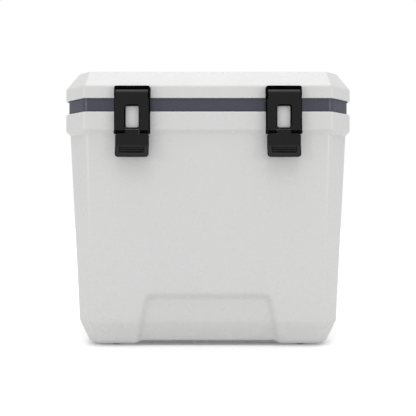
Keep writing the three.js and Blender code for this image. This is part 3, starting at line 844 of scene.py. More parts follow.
@dataclass(frozen=True)
class Plan:
    """Plan outline that the tub and the lid share: a rectangle with cut corners.

    Attributes:
        half_width: half of the rim's width.
        half_depth: half of the rim's depth.
        rim_cut: size of the rim's corner facets, measured along each side.
        skin: thickness of the moulded outer skins.
        edge_reach: how far along each side the upright edges are rounded.
        edge_steps: spans in each upright edge.
    """

    half_width: float
    half_depth: float
    rim_cut: float = 0.0365
    skin: float = 0.0034
    edge_reach: float = 0.0048
    edge_steps: int = 4

    def loop(self, bm: bmesh.types.BMesh, level: Level, reach: float | None = None) -> Loop:
        """Lays the outline at one level.

        Args:
            bm: mesh that has no faces yet.
            level: height, inset and corner facet.
            reach: rounding of the upright edges, if it isn't the plan's own.

        Returns:
            The outline's edges.
        """
        x, y = self.half_width - level.inset, self.half_depth - level.inset
        corners = []
        for sx, sy in ((1, -1), (1, 1), (-1, 1), (-1, -1)):
            on_front = Vector((sx * (x - level.cut), sy * y, level.z))
            on_side = Vector((sx * x, sy * (y - level.cut), level.z))
            corners += [on_front, on_side] if sx * sy < 0 else [on_side, on_front]
        return lay_loop(bm, corners, reach or self.edge_reach, self.edge_steps)

    def loft(self, levels: Sequence[Level], reach: float | None = None, cap_first: bool = False,
             cap_last: bool = False, closed: bool = False) -> bmesh.types.BMesh:
        """Builds a skin through outlines at several levels.

        Args:
            levels: the levels in order along the section.
            reach: rounding of the upright edges.
            cap_first: whether the first outline is closed by a face.
            cap_last: whether the last one is.
            closed: whether the section runs back into itself.

        Returns:
            The skin's mesh.
        """
        bm = bmesh.new()
        loops = [self.loop(bm, level, reach) for level in levels]
        bridge(bm, loops, closed)
        if cap_first:
            cap(bm, loops[0])
        if cap_last:
            cap(bm, loops[-1])
        return bm


@dataclass
class Tub:
    """Double-walled tub: outer skin with collar rim, food liner, foam, latch piers and feet.

    Attributes:
        bench: where its pieces are finished.
        plan: its outline.
        recess_depth: depth of the recess low on the front.
        recess_top: height of the recess.
        recess_half_top: half of its width at the top.
        recess_half_bottom: half of its width at the bottom.
        recess_arc: radius of its upper corners.
        recess_ramps: width of the slope on its lower, right, upper and left side.
        hold_half: half of a hand-hold's length.
        hold_low: height of its lower edge.
        hold_high: height of its upper edge.
        hold_floor: how far from the middle its floor is.
        hold_arc: radius of its corners.
        alcove_half: half of the drain alcove's width.
        alcove_low: height of its lower edge.
        alcove_high: height of its upper edge.
        alcove_floor: how far from the middle its floor is.
        alcove_arc: radius of its corners.
        pier_half: half of a latch pier's width.
        pier_low: height of its foot, on the rim.
        pier_back: how far its back is behind the rim's face.
        pier_clear: how far its front is behind the rim's face.
        keeper_half: half of a keeper block's width.
        keeper_low: height of its lower edge.
        keeper_high: height of its upper edge.
        block_edge: radius of the edges of piers and keeper blocks.
    """

    bench: Bench
    plan: Plan
    recess_depth: float = 0.008
    recess_top: float = 0.094
    recess_half_top: float = 0.107
    recess_half_bottom: float = 0.130
    recess_arc: float = 0.017
    recess_ramps: tuple[float, ...] = (0.0, 0.014, 0.015, 0.014)
    hold_half: float = 0.060
    hold_low: float = 0.318
    hold_high: float = 0.352
    hold_floor: float = 0.2135
    hold_arc: float = 0.014
    alcove_half: float = 0.032
    alcove_low: float = 0.028
    alcove_high: float = 0.084
    alcove_floor: float = 0.202
    alcove_arc: float = 0.012
    pier_half: float = 0.024
    pier_low: float = 0.387
    pier_back: float = 0.0041
    pier_clear: float = 0.00005
    keeper_half: float = 0.011
    keeper_low: float = 0.3648
    keeper_high: float = 0.401
    block_edge: float = 0.0008

    def skin_levels(self) -> list[Level]:
        """Section of the outer skin.

        Returns:
            The levels, from its underside to the lip that holds the liner.
        """
        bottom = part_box("body_shell")[0].z
        return softened([
            Level(bottom, 0.048, 0.014),
            Level(bottom + 0.0015, 0.041, 0.0155, 0.002),
            Level(0.0085, 0.0358, 0.0175, 0.003),
            Level(0.043, 0.0213, 0.0245, 0.004),
            Level(0.357, 0.0065, 0.0337, 0.0014),
            Level(0.3635, 0.0, self.plan.rim_cut, 0.0016),
            Level(0.3935, 0.0, self.plan.rim_cut, 0.0040),
            Level(0.3935, 0.014, 0.0295, 0.0012),
            Level(0.3878, 0.014, 0.0295),
        ])

    def wall_faces(self, bm: bmesh.types.BMesh, axis: int, side: int, low: float, high: float
                   ) -> list[bmesh.types.BMFace]:
        """Picks the faces of one wall between two heights.

        Args:
            bm: the skin's mesh.
            axis: the axis that the wall faces along, 0 for X and 1 for Y.
            side: 1 for the wall at the axis's far end, -1 for the other.
            low: the lower height.
            high: the upper height.

        Returns:
            The faces.
        """
        bm.normal_update()
        found = []
        for face in bm.faces:
            middle, normal = face.calc_center_median(), face.normal
            heights = [vert.co.z for vert in face.verts]
            if middle[axis] * side > 0 and abs(normal[axis]) > 0.5 and abs(normal[1 - axis]) < 0.1 \
                    and min(heights) < high and max(heights) > low:
                found.append(face)
        return found

    def press_side_pocket(self, bm: bmesh.types.BMesh, side: int, half: float, low: float, high: float,
                          floor: float, radius: float) -> None:
        """Presses a pocket with rounded corners into a side wall, down to a flat floor.

        Args:
            bm: the skin's mesh.
            side: 1 for the right-hand wall, -1 for the left-hand one.
            half: half of the pocket's width.
            low: height of its lower edge.
            high: height of its upper edge.
            floor: how far from the middle its floor is.
            radius: radius of its corners.
        """
        ramp, lip, foot, wall_inset = 0.0068, 0.0026, 0.003, 0.0075
        depth = abs(self.plan.half_width - wall_inset - floor)
        corners = ((-half, low), (half, low), (half, high), (-half, high))
        mouth = Mouth(corners, radius, (ramp,) * 4, Vector((0, 1, 0)))
        section = pocket_section(ramp, depth, lip, foot)
        press(bm, self.wall_faces(bm, 0, side, low, high), mouth, section,
              lambda co, share: Vector((co.x + (side * floor - co.x) * share, co.y, co.z)))

    def build_skin(self) -> None:
        """Builds the outer skin with its front recess, hand-holds and drain alcove."""
        bm = self.plan.loft(self.skin_levels(), cap_first=True)
        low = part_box("body_shell")[0].z - OPEN_END
        corners = ((-self.recess_half_bottom, low), (self.recess_half_bottom, low),
                   (self.recess_half_top, self.recess_top), (-self.recess_half_top, self.recess_top))
        mouth = Mouth(corners, self.recess_arc, self.recess_ramps, Vector((1, 0, 0)))
        press(bm, self.wall_faces(bm, 1, -1, -1.0, self.recess_top), mouth, SOFT_STEP,
              lambda co, share: co + Vector((0, self.recess_depth * share, 0)))
        for side in (-1, 1):
            self.press_side_pocket(bm, side, self.hold_half, self.hold_low, self.hold_high,
                                   self.hold_floor, self.hold_arc)
        self.press_side_pocket(bm, 1, self.alcove_half, self.alcove_low, self.alcove_high,
                               self.alcove_floor, self.alcove_arc)
        self.bench.piece("tub_skin", bm, "body_shell", wall=self.plan.skin)

    def build_piers(self) -> None:
        """Builds the posts that stand on the rim behind the latches, with a keeper block on each."""
        outermost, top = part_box("body_shell")[0].y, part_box("body_shell")[1].z
        face = -self.plan.half_depth
        for hand in Hand:
            x = JOINTS[f"{hand.value}_latch_swing"]["pos_m"][0]
            bm = bmesh.new()
            low = Vector((x - self.pier_half, face + self.pier_clear, self.pier_low))
            high = Vector((x + self.pier_half, face + self.pier_back, top))
            rounded_bar(bm, low, high, self.block_edge)
            rounded_bar(bm, Vector((x - self.keeper_half, outermost, self.keeper_low)),
                        Vector((x + self.keeper_half, high.y, self.keeper_high)), self.block_edge)
            self.bench.piece(f"{hand.value}_latch_pier", bm, "body_shell", stands_for=False)

    def build_liner(self) -> None:
        """Builds the food liner as one closed wall with a flange."""
        low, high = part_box("body_liner")
        flange = 0.0143
        levels = softened([
            Level(low.z, 0.065, 0.016),
            Level(0.0435, 0.0595, 0.018, 0.003),
            Level(0.050, 0.0575, 0.019, 0.003),
            Level(0.3902, 0.0405, 0.024, 0.001),
            Level(0.3902, flange, 0.0281, 0.0008),
            Level(high.z, flange, 0.0281, 0.0012),
            Level(high.z, 0.0435, 0.0222, 0.004),
            Level(0.053, 0.0605, 0.0172, 0.004),
            Level(0.045, 0.0685, 0.0142, 0.007),
            Level(0.045, 0.085, 0.012),
        ], 5)
        bm = self.plan.loft(levels, reach=0.0048, cap_first=True, cap_last=True)
        self.bench.piece("food_liner", bm, "body_liner")

    def build_feet(self) -> None:
        """Builds the four rubber feet, each with a domed edge and a ring groove in its tread."""
        for row in ("front", "rear"):
            for hand in Hand:
                node = f"foot_{row}_{hand.value}"
                low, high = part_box(node)
                middle = Vector(((low.x + high.x) / 2, (low.y + high.y) / 2, 0.0))
                bm = bmesh.new()
                turned(bm, [(0.0, 0.0006), (0.0028, 0.0006), (0.0034, 0.0), (0.0069, 0.0), (0.0079, 0.0004),
                            (0.0084, 0.0011), (0.0085, 0.0020), (0.0083, 0.0022), (0.0036, 0.0022),
                            (0.0035, 0.0054), (0.0031, high.z), (0.0, high.z)], middle, Vector((0, 0, 1)))
                self.bench.piece(f"{row}_{hand.value}_foot", bm, node)

    def build(self) -> None:
        """Builds the whole tub."""
        self.build_skin()
        self.build_piers()
        self.build_liner()
        self.bench.keep("body_foam")
        self.build_feet()


# ---------------------------------------------------------------- lid


@dataclass
class Lid:
    """Chamfered lid on its slate pan, with foam inside and a gasket underneath.

    Attributes:
        bench: where its pieces are finished.
        plan: its outline, which the tub's rim shares.
        pocket_half: half of a latch pocket's width.
        pocket_top: height of its upper edge.
        pocket_floor: where its floor is along Y.
        pan_reach: how far along each side the pan's upright edges are rounded.
    """

    bench: Bench
    plan: Plan
    pocket_half: float = 0.0294
    pocket_top: float = 0.4343
    pocket_floor: float = -0.1942
    pan_reach: float = 0.006

    def build_cover(self) -> None:
        """Builds the lid's outer skin and presses the two latch pockets into its front lip."""
        low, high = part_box("lid_cover")
        bm = self.plan.loft(softened([
            Level(low.z, 0.0036, 0.0349),
            Level(low.z, 0.0, self.plan.rim_cut, 0.0018),
            Level(0.4347, 0.0, self.plan.rim_cut, 0.0026),
            Level(high.z - 0.0008, 0.0218, 0.0195, 0.0024),
            Level(high.z, 0.0265, 0.018, 0.0016),
            Level(high.z, 0.034, 0.0165),
        ]), cap_last=True)
        bm.normal_update()
        for hand in Hand:
            x = JOINTS[f"{hand.value}_latch_swing"]["pos_m"][0]
            half, foot = self.pocket_half, low.z - OPEN_END
            corners = ((x - half, foot), (x + half, foot), (x + half, self.pocket_top),
                       (x - half, self.pocket_top))
            mouth = Mouth(corners, 0.004, (0.0, 0.0008, 0.0008, 0.0008), Vector((1, 0, 0)))
            faces = [face for face in bm.faces if face.calc_center_median().y < 0
                     and abs(face.normal.x) < 0.1 and face.calc_center_median().z < self.pocket_top + 0.004]
            press(bm, faces, mouth, ((0.0, 0.0), (0.35, 0.06), (1.0, 1.0)),
                  lambda co, share: Vector((co.x, co.y + max(0.0, self.pocket_floor - co.y) * share, co.z)),
                  margin=0.002)
        self.bench.piece("lid_skin", bm, "lid_cover", wall=self.plan.skin)

    def build_pan(self) -> None:
        """Builds the slate pan: skirt, gasket groove and the plug that hangs into the tub."""
        low, _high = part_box("lid_liner")
        edge, foot, top, smallest_cut = 0.0044, 0.394, 0.430, 0.012
        groove_outer, groove_inner, groove_top, skirt = 0.0203, 0.0317, foot + 0.0033, edge + 0.003

        def cut_at(inset: float) -> float:
            """Corner facet that keeps an even wall at an inset, and never less than the smallest."""
            return max(smallest_cut, self.plan.rim_cut - inset * FACET_SHRINK)

        levels = softened([
            Level(low.z, 0.060, 0.018),
            Level(low.z, 0.049, 0.021, 0.003),
            Level(foot, 0.048, 0.022, 0.0012),
            Level(foot, groove_inner, cut_at(groove_inner), 0.0004),
            Level(groove_top, groove_inner, cut_at(groove_inner)),
            Level(groove_top, groove_outer, cut_at(groove_outer)),
            Level(foot, groove_outer, cut_at(groove_outer), 0.0004),
            Level(foot, edge, cut_at(edge), 0.0011),
            Level(top, edge, cut_at(edge), 0.0008),
            Level(top, skirt, cut_at(skirt)),
            Level(0.400, skirt, cut_at(skirt)),
            Level(0.400, 0.054, 0.020),
            Level(0.387, 0.054, 0.020),
            Level(0.387, 0.064, 0.018),
        ], 3)
        bm = self.plan.loft(levels, reach=self.pan_reach, cap_first=True, cap_last=True)
        self.bench.piece("lid_pan", bm, "lid_liner")

    def build_gasket(self) -> None:
        """Builds the gasket: a flat base in the groove with a rounded sealing bead."""
        low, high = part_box("lid_gasket")
        outer, inner = 0.0206, 0.0314

        def at(inset: float, z: float) -> Level:
            """Level of the gasket's section at an inset."""
            return Level(z, inset, self.plan.rim_cut - inset * FACET_SHRINK)

        middle, half, rise, steps = (outer + inner) / 2, 0.0034, 0.0016, 8
        turns = [math.pi * step / steps for step in range(steps + 1)]
        bead = [at(middle - half * math.cos(a), low.z + rise * (1 - math.sin(a))) for a in turns]
        section = [at(outer, high.z), at(outer, low.z + rise), *bead,
                   at(inner, low.z + rise), at(inner, high.z)]
        bm = self.plan.loft(section, closed=True)
        self.bench.piece("lid_seal", bm, "lid_gasket")

    def build(self) -> None:
        """Builds the whole lid."""
        self.build_cover()
        self.build_pan()
        self.bench.keep("lid_foam")
        self.build_gasket()


# ---------------------------------------------------------------- fasteners


@dataclass(frozen=True)
class Screw:
    """Pan-head screw with a cross recess.

    Attributes:
        head: radius of the head.
        rise: height of the head.
        shank: radius of the shank.
        length: length of the shank.
        slot: half of the width of the cross's arms.
    """

    head: float
    rise: float
    shank: float
    length: float
    slot: float = 0.00055

    def mesh(self, seat: Vector, outwards: Vector) -> bmesh.types.BMesh:
        """Builds the screw.

        Args:
            seat: middle of the underside of its head.
            outwards: unit vector that its head faces.

        Returns:
            The screw's mesh.
        """
        bm = bmesh.new()
        outline = [(0.0, -self.length), (self.shank * 0.35, -self.length + 0.0006),
                   (self.shank, -self.length + 0.0016), (self.shank, 0.0), (self.head, 0.0),
                   (self.head, self.rise * 0.3), (self.head * 0.94, self.rise * 0.62),
                   (self.head * 0.76, self.rise * 0.88), (self.head * 0.55, self.rise), (0.0, self.rise)]
        turned(bm, outline, seat, outwards, 32)
        across = outwards.orthogonal().normalized()
        other = outwards.cross(across)
        crown = [face for face in bm.faces
                 if (face.calc_center_median() - seat).dot(outwards) > self.rise * 0.95]
        for axis in (across, other):
            for offset in (-self.slot, self.slot):
                crown = split(bm, crown, seat + axis * offset, axis)
        reach, sink = self.head * 0.52, self.rise * 0.55
        picked = []
        for face in crown:
            place = face.calc_center_median() - seat
            arms = abs(place.dot(across)), abs(place.dot(other))
            if min(arms) < self.slot and max(arms) < reach:
                picked.append(face)
        sunk = bmesh.ops.extrude_face_region(bm, geom=picked)
        verts = [part for part in sunk["geom"] if isinstance(part, bmesh.types.BMVert)]
        bmesh.ops.translate(bm, verts=verts, vec=outwards * -sink)
        bmesh.ops.delete(bm, geom=picked, context="FACES")
        return bm


# ---------------------------------------------------------------- hinges


@dataclass
class Hinges:
    """The two rear hinges: leaves, pins and screws.

    Attributes:
        bench: where their pieces are finished.
        pin: radius of a pin.
        pin_head: radius of its heads.
        head_length: length of each head.
        plate_corner: radius of the corners of a leaf's plate.
        screw: the screws' shape.
    """

    bench: Bench
    pin: float = 0.0025
    pin_head: float = 0.0036
    head_length: float = 0.0013
    plate_corner: float = 0.0035
    screw: Screw = Screw(0.0038, 0.0021, 0.0015, 0.0074)

    def build_leaves(self, hand: Hand) -> None:
        """Builds the fixed and the moving leaf of one hinge, with softened plate corners.

        Args:
            hand: which hinge.
        """
        for half in ("body", "lid"):
            node = f"hinge_{hand.value}_{half}_leaf"
            low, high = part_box(node)
            bm = merged_copy(node)
            edge_z = low.z if half == "body" else high.z

            def at_corner(edge: bmesh.types.BMEdge) -> bool:
                """Whether an edge is an outer corner of the leaf's plate."""
                place = edge.verts[0].co
                on_end = near(place.x, low.x, 1e-5) or near(place.x, high.x, 1e-5)
                return runs_along(edge, 1) and on_end and near(place.z, edge_z, 1e-5)

            round_edges(bm, at_corner, self.plate_corner)
            self.bench.piece(f"{hand.value}_hinge_{half}_leaf", bm, node, bevel=0.0005)

    def build_pin(self, hand: Hand) -> None:
        """Builds a hinge pin with a domed head at each end.

        Args:
            hand: which hinge.
        """
        node = f"hinge_{hand.value}_pin"
        low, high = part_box(node)
        half = (high.x - low.x) / 2
        neck = half - self.head_length
        end = [(self.pin, neck), (self.pin_head, neck), *dome(self.pin_head, neck + 0.0004, half)]
        self.bench.piece(f"{hand.value}_hinge_pin", headed_pin(node, end, 32), node)

    def build_screws(self, hand: Hand) -> None:
        """Builds the four screws of one hinge.

        Args:
            hand: which hinge.
        """
        for half in ("body", "lid"):
            for end in ("a", "b"):
                node = f"hinge_{hand.value}_{half}_screw_{end}"
                seat = node_middle(node)
                seat.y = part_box(node)[1].y - self.screw.rise
                bm = self.screw.mesh(seat, Vector((0, 1, 0)))
                self.bench.piece(f"{hand.value}_hinge_{half}_screw_{end}", bm, node)

    def build(self) -> None:
        """Builds both hinges."""
        for hand in Hand:
            self.build_leaves(hand)
            self.build_pin(hand)
            self.build_screws(hand)


# ---------------------------------------------------------------- latches


@dataclass
class Latches:
    """The two draw latches: bracket, hanger pin, windowed frame, lever pin and lever.

    Attributes:
        bench: where their pieces are finished.
        screw: the bracket screws' shape.
        hood_radius: radius of the bracket's upper corners.
        window_half: half of the width of the frame's window.
        window_low: a height just under the window.
        window_high: a height just over it.
        window_radius: radius of the window's corners.
        window_edge: rounding of its front rim.
        frame_edge: rounding of the frame's upright front edges.
        pin_edge: chamfer of the hanger pin's ends.
        lever_face: how far the lever's face is in front of its pin.
        lever_top: how far the flat half ends below its pin.
        lever_thick: thickness of the lever.
        lever_corner: reach of its lower corners' rounding.
        lever_edge: radius of its other edges.
        lever_bend: height at which the grip starts to flare.
        bend_soft: how far above and below that height the bend is spread.
        lever_relief: height from which the flat half is narrower.
        relief_rise: height of the slope between the two widths.
        relief_half: half of the narrower width.
        panel_half: half of the width of the sunk panel on the grip.
        panel_low: height of its lower edge.
        panel_high: height of its upper edge.
        groove_heights: heights of the finger grooves.
    """

    bench: Bench
    screw: Screw = Screw(0.0030, 0.0011, 0.0013, 0.0060, 0.00045)
    hood_radius: float = 0.004
    window_half: float = 0.011
    window_low: float = 0.3640
    window_high: float = 0.4020
    window_radius: float = 0.0026
    window_edge: float = 0.0014
    frame_edge: float = 0.0025
    pin_edge: float = 0.0004
    lever_face: float = 0.0019
    lever_top: float = 0.0024
    lever_thick: float = 0.005
    lever_corner: float = 0.0052
    lever_edge: float = 0.0011
    lever_bend: float = 0.338
    bend_soft: float = 0.004
    lever_relief: float = 0.3525
    relief_rise: float = 0.0008
    relief_half: float = 0.0262
    panel_half: float = 0.0205
    panel_low: float = 0.3227
    panel_high: float = 0.3370
    groove_heights: tuple[float, ...] = (0.3317, 0.3285)

    def build_bracket(self, hand: Hand) -> None:
        """Builds the housing in the lid's pocket, with its hood's corners rounded by flat cuts.

        Args:
            hand: which latch.
        """
        node = f"latch_{hand.value}_bracket"
        low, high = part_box(node)
        bm = merged_copy(node)
        radius, cuts = self.hood_radius, 5
        for side, end in ((-1, low.x), (1, high.x)):
            hub = Vector((end - side * radius, 0.0, high.z - radius))
            for step in range(1, cuts + 1):
                angle = math.pi / 2 / (cuts + 1) * step
                normal = Vector((side * math.sin(angle), 0.0, math.cos(angle)))
                slice_off(bm, hub + normal * radius, normal)
        self.bench.piece(f"{hand.value}_latch_bracket", bm, node, bevel=0.0004)

    def build_frame(self, hand: Hand) -> None:
        """Builds the draw frame with a rounded window and rounded side edges.

        Args:
            hand: which latch.
        """
        node = f"latch_{hand.value}_frame"
        low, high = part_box(node)
        middle = node_middle(node)
        plate = 0.004  # the window's corners run through the whole plate, which is thicker than this
        bm = merged_copy(node)

        def window_corner(edge: bmesh.types.BMEdge) -> bool:
            """Whether an edge is a corner of the window."""
            place = (edge.verts[0].co + edge.verts[1].co) / 2
            on_side = near(abs(place.x - middle.x), self.window_half)
            at_window = self.window_low < place.z < self.window_high
            return runs_along(edge, 1) and on_side and at_window and edge.calc_length() > plate

        def side_edge(edge: bmesh.types.BMEdge) -> bool:
            """Whether an edge is an upright outer edge of the front."""
            place = (edge.verts[0].co + edge.verts[1].co) / 2
            outer = near(abs(place.x - middle.x), high.x - middle.x)
            return runs_along(edge, 2) and outer and near(place.y, low.y)

        def window_rim(edge: bmesh.types.BMEdge) -> bool:
            """Whether an edge is on the front rim of the window."""
            return all(near(vert.co.y, low.y) and near(vert.co.x, middle.x, self.window_half + 0.0002)
                       and self.window_low < vert.co.z < self.window_high for vert in edge.verts)

        def painted_shade_face(face: bpy.types.MeshPolygon) -> bool:
            """Whether a face is on a side of the frame or round its window, which takes the near-black matt finish
            as painted shade.
            """
            place, normal, margin = face.center, face.normal, 0.0005
            across = near(place.x, middle.x, self.window_half + 0.0017)
            upright = self.window_low - margin < place.z < self.window_high + margin
            return abs(normal.x) > 0.2 or (across and upright and normal.y > -0.97)

        round_edges(bm, window_corner, self.window_radius)
        round_edges(bm, window_rim, self.window_edge, 3)
        round_edges(bm, side_edge, self.frame_edge)
        piece = self.bench.piece(f"{hand.value}_latch_frame", bm, node, bevel=0.0009)
        # the frame's sides and the rim of its window take the near-black matt finish: painted shade along its
        # outline
        self.bench.shelf.trim(piece, "latch_bracket", painted_shade_face)

    def build_pins(self, hand: Hand) -> None:
        """Builds the hanger pin and the lever pin.

        Args:
            hand: which latch.
        """
        steps = 24
        node = f"latch_{hand.value}_hanger_pin"
        low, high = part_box(node)
        radius, half = (high.z - low.z) / 2, (high.x - low.x) / 2
        end = [(radius, half - self.pin_edge), (radius - self.pin_edge, half), (0.0, half)]
        self.bench.piece(f"{hand.value}_hanger_pin", headed_pin(node, end, steps), node)
        node = f"latch_{hand.value}_lever_pin"
        low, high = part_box(node)
        head, half, shank = (high.z - low.z) / 2, (high.x - low.x) / 2, 0.0012
        neck = half - 0.0008
        end = [(shank, neck), (head, neck), *dome(head, neck + 0.0002, half)]
        self.bench.piece(f"{hand.value}_lever_pin", headed_pin(node, end, steps), node)

    def flare(self, z: float, low: float, reach: float) -> float:
        """Reads the lever's side view at one height.

        Args:
            z: the height.
            low: height of the lever's lower end.
            reach: how far the grip would stand forward there with a sharp bend.

        Returns:
            How far its face stands forward of the flat half.
        """
        slope, soft = reach / (self.lever_bend - low), self.bend_soft
        below = self.lever_bend - z
        if below <= -soft:
            return 0.0
        if below >= soft:
            return slope * below
        return slope * (below + soft) ** 2 / (4 * soft)

    def build_lever(self, hand: Hand) -> None:
        """Builds the lever: a flat upper half, a flared grip with a ribbed panel, and a knuckle.

        Args:
            hand: which latch.
        """
        node = f"latch_{hand.value}_lever"
        low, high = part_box(node)
        middle = node_middle(node)
        joint = Vector(JOINTS[f"{hand.value}_latch_lever_turn"]["pos_m"])
        front, top, half = joint.y - self.lever_face, joint.z - self.lever_top, (high.x - low.x) / 2
        narrow, shoulder = self.relief_half, self.lever_relief + self.relief_rise
        bm = bmesh.new()
        outline = ((-half, low.z), (half, low.z), (half, self.lever_relief), (narrow, shoulder),
                   (narrow, top), (-narrow, top), (-narrow, shoulder), (-half, self.lever_relief))
        verts = [bm.verts.new((middle.x + x, front, z)) for x, z in outline]
        bm.faces.new(verts)
        bmesh.ops.bevel(bm, geom=verts[:2], offset=self.lever_corner, offset_type="OFFSET", segments=6,
                        profile=0.5, affect="VERTICES", material=-1)
        faces = list(bm.faces)
        for step in range(5):
            place = Vector((0, 0, self.lever_bend + self.bend_soft - self.bend_soft / 2 * step))
            faces = split(bm, faces, place, Vector((0, 0, 1)))
        self.press_grip(bm, middle.x)
        for vert in bm.verts:
            vert.co.y -= self.flare(vert.co.z, low.z, front - low.y)
        back = bmesh.ops.extrude_face_region(bm, geom=list(bm.faces), use_keep_orig=True)
        verts = [part for part in back["geom"] if isinstance(part, bmesh.types.BMVert)]
        bmesh.ops.translate(bm, verts=verts, vec=Vector((0, self.lever_thick, 0)))
        bmesh.ops.recalc_face_normals(bm, faces=bm.faces)
        square = math.radians(70)
        round_edges(bm, lambda edge: edge.is_manifold and edge.calc_face_angle() > square, self.lever_edge, 3)
        self.add_knuckle(bm, joint, front, top)
        piece = self.bench.piece(f"{hand.value}_latch_lever", bm, node)
        # the lever's sides and its downward faces low on the grip take the near-black matt finish: painted shade
        self.bench.shelf.trim(piece, "latch_bracket", lambda face: abs(face.normal.x) > 0.5
                              or (face.normal.z < -0.5 and face.center.z < self.panel_low - 0.002))

    def press_grip(self, bm: bmesh.types.BMesh, x: float) -> None:
        """Sinks the grip panel into the flared half, with its finger grooves.

        Args:
            bm: the lever's face.
            x: where the lever's middle is.
        """
        across = Vector((1, 0, 0))

        def sink(low: float, high: float, half: float, radius: float, ramp: float, depth: float) -> None:
            """Sinks one rounded panel or groove.

            Args:
                low: height of its lower edge.
                high: height of its upper edge.
                half: half of its width.
                radius: radius of its corners.
                ramp: width of its sides' slope.
                depth: how deep it is.
            """
            corners = ((x - half, low), (x + half, low), (x + half, high), (x - half, high))
            mouth = Mouth(corners, radius, (ramp,) * 4, across)
            faces = [face for face in bm.faces if min(v.co.z for v in face.verts) < high + 0.002]
            press(bm, faces, mouth, ((0.0, 0.0), (0.5, 0.5), (1.0, 1.0)),
                  lambda co, share: co + Vector((0, depth * share, 0)), margin=0.0003)

        inner, rib = self.panel_half - 0.0008, 0.0006
        sink(self.panel_low, self.panel_high, self.panel_half, radius=0.0045, ramp=0.0008, depth=0.0006)
        for height in self.groove_heights:
            sink(height - rib, height + rib, inner, radius=0.0005, ramp=0.0004, depth=0.0009)
        foot, brow = self.panel_low + 0.0008, self.panel_low + 0.0032
        sink(foot, brow, inner, radius=0.0011, ramp=0.0005, depth=0.0013)

    def add_knuckle(self, bm: bmesh.types.BMesh, joint: Vector, front: float, top: float) -> None:
        """Adds the knuckle round the lever pin and its web.

        Args:
            bm: the lever's mesh.
            joint: a point of the pin's axis, in the lever's middle.
            front: where the lever's face is along Y.
            top: height at which the flat half ends.
        """
        half, radius, soft, proud, web = 0.011, 0.0037, 0.0005, 0.0001, 0.004
        knuckle = bmesh.new()
        turned(knuckle, [(0.0, -half), (radius - soft, -half), (radius, -half + soft),
                         (radius, half - soft), (radius - soft, half), (0.0, half)],
               joint, Vector((1, 0, 0)), 32)
        face = front - proud
        slice_off(knuckle, Vector((0, face + 0.00004, 0)), Vector((0, -1, 0)))
        rounded_bar(knuckle, Vector((joint.x - half, face, top - web)),
                    Vector((joint.x + half, joint.y + radius, joint.z)), 0.0002, 2)
        bmesh.ops.recalc_face_normals(knuckle, faces=knuckle.faces)
        scratch = bpy.data.meshes.new("knuckle")
        knuckle.to_mesh(scratch)
        knuckle.free()
        bm.from_mesh(scratch)
        bpy.data.meshes.remove(scratch)

    def build_screws(self, hand: Hand) -> None:
        """Builds the two screws that hold the bracket.

        Args:
            hand: which latch.
        """
        for end in ("a", "b"):
            node = f"latch_{hand.value}_bracket_screw_{end}"
            seat = node_middle(node)
            seat.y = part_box(node)[0].y + self.screw.rise
            bm = self.screw.mesh(seat, Vector((0, -1, 0)))
            self.bench.piece(f"{hand.value}_bracket_screw_{end}", bm, node)

    def build(self) -> None:
        """Builds both latches."""
        for hand in Hand:
            self.build_bracket(hand)
            self.build_frame(hand)
            self.build_pins(hand)
            self.build_lever(hand)
            self.build_screws(hand)


# ---------------------------------------------------------------- drain


@dataclass
class Drain:
    """Screw drain low on the right-hand side: bushing, washer, clamp nut, captive seal and plug.

    Attributes:
        bench: where its pieces are finished.
    """

    bench: Bench

    def build_ring(self, name: str, node: str, bore: float, outer: float, soft: float) -> None:
        """Builds a flat ring along X with softened edges.

        Args:
            name: name of the piece.
            node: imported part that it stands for.
            bore: inner radius.
            outer: outer radius.
            soft: chamfer of the edges.
        """
        low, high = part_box(node)
        middle = node_middle(node)
        bm = bmesh.new()
        length = high.x - low.x
        outline = [(bore, soft), (bore + soft, 0.0), (outer - soft, 0.0), (outer, soft),
                   (outer, length - soft), (outer - soft, length), (bore + soft, length),
                   (bore, length - soft)]
        turned(bm, outline, Vector((low.x, middle.y, middle.z)), Vector((1, 0, 0)), 48)
        self.bench.piece(name, bm, node)

    def build(self) -> None:
        """Builds the whole drain."""
        self.bench.piece("drain_tube", merged_copy("drain_bushing"), "drain_bushing", bevel=0.0005)
        self.build_ring("drain_gasket", "drain_washer", bore=0.0098, outer=0.0150, soft=0.0004)
        self.bench.piece("drain_clamp_nut", merged_copy("drain_nut"), "drain_nut", bevel=0.0008)
        self.build_ring("plug_seal", "drain_plug_seal", bore=0.0072, outer=0.0107, soft=0.0005)
        self.bench.piece("drain_cap", merged_copy("drain_plug"), "drain_plug", bevel=0.0007)


# ---------------------------------------------------------------- studio


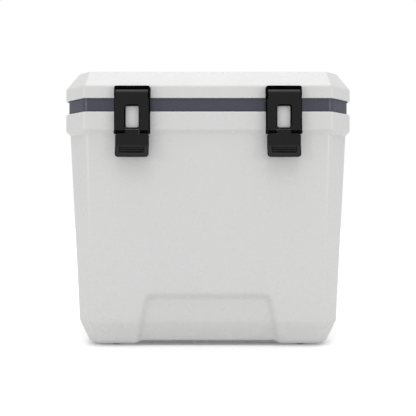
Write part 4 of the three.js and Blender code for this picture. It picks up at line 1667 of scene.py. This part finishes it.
@dataclass(frozen=True)
class Studio:
    """Plain pale floor, soft light and the camera.

    Attributes:
        distance: how far the camera stands in front of the tub's rim.
        eye: height of the camera.
        lens: focal length in millimetres.
        floor: brightness of the floor's colour.
        floor_half: half of the floor's width.
        glow: light that the floor gives off, as a lit table does.
        sky: strength of the light from all round.
        lamps: name, azimuth, height and width in degrees, and strength of each distant light; an
            azimuth of 0 is in front of the chest.
    """

    distance: float = 1.03
    eye: float = 0.2345
    lens: float = 54.35
    floor: float = 0.80
    floor_half: float = 6.0
    glow: float = 0.15
    sky: float = 1.0
    lamps: tuple[tuple[str, float, float, float, float], ...] = (
        ("top_light", 0.0, 90.0, 44.0, 1.3),
        ("key_light", 0.0, 50.0, 24.0, 0.42),
        ("left_light", -45.0, 4.0, 8.0, 0.26),
        ("right_light", 45.0, 4.0, 8.0, 0.26),
    )

    def build_camera(self, front: float) -> None:
        """Sets up the camera, level and square to the front.

        Args:
            front: where the front of the rim is along Y.
        """
        data = bpy.data.cameras.new("camera")
        data.lens = self.lens
        data.sensor_width = 36.0
        camera = bpy.data.objects.new("camera", data)
        camera.location = (0.0, front - self.distance, self.eye)
        camera.rotation_euler = (math.pi / 2, 0.0, 0.0)
        bpy.context.scene.collection.objects.link(camera)
        bpy.context.scene.camera = camera

    def build_floor(self) -> None:
        """Lays the floor."""
        bm = bmesh.new()
        bmesh.ops.create_grid(bm, x_segments=8, y_segments=8, size=self.floor_half)
        mesh = bpy.data.meshes.new("studio_floor")
        bm.to_mesh(mesh)
        bm.free()
        piece = bpy.data.objects.new("studio_floor", mesh)
        bpy.context.scene.collection.objects.link(piece)
        graph = Graph("studio_floor")
        graph.shader.inputs["Specular IOR Level"].default_value = 0.0
        graph.shader.inputs["Roughness"].default_value = 1.0
        graph.shader.inputs["Emission Color"].default_value = (1.0, 1.0, 1.0, 1.0)
        graph.shader.inputs["Emission Strength"].default_value = self.glow
        pale = (self.floor,) * 3
        uneven = graph.blend(graph.noise(0.4), toned(pale, 0.998), pale)
        graph.join(uneven, graph.shader.inputs["Base Color"])
        mesh.materials.append(graph.material)

    def build_light(self) -> None:
        """Sets up the even light all round and the distant lamps."""
        world = bpy.data.worlds.new("studio")
        world.use_nodes = True
        background = world.node_tree.nodes["Background"]
        background.inputs["Color"].default_value = (1.0, 1.0, 1.0, 1.0)
        background.inputs["Strength"].default_value = self.sky
        bpy.context.scene.world = world
        for name, azimuth, height, width, strength in self.lamps:
            data = bpy.data.lights.new(name, "SUN")
            data.energy = strength
            data.angle = math.radians(width)
            turn, rise = math.radians(azimuth), math.radians(height)
            level = math.cos(rise)
            towards = Vector((math.sin(turn) * level, -math.cos(turn) * level, math.sin(rise)))
            light = bpy.data.objects.new(name, data)
            light.rotation_euler = towards.to_track_quat("Z", "Y").to_euler()
            light.location = towards * 3.0
            bpy.context.scene.collection.objects.link(light)

    def build(self) -> None:
        """Sets up the studio."""
        self.build_camera(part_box("lid_cover")[0].y)
        self.build_floor()
        self.build_light()
        bpy.context.scene.view_settings.view_transform = "Standard"


def main() -> None:
    """Builds the chest and the studio."""
    logging.basicConfig(level=logging.INFO, format="%(name)s: %(message)s")
    Studio().build()
    bench = Bench(FinishShelf())
    _low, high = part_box("lid_cover")
    plan = Plan(high.x, high.y)
    for part in (Tub(bench, plan), Lid(bench, plan), Hinges(bench), Latches(bench), Drain(bench)):
        part.build()
        LOG.info("%s finished, %d pieces so far", type(part).__name__, bench.count)
    bpy.context.view_layer.update()


if __name__ == "__main__":
    main()
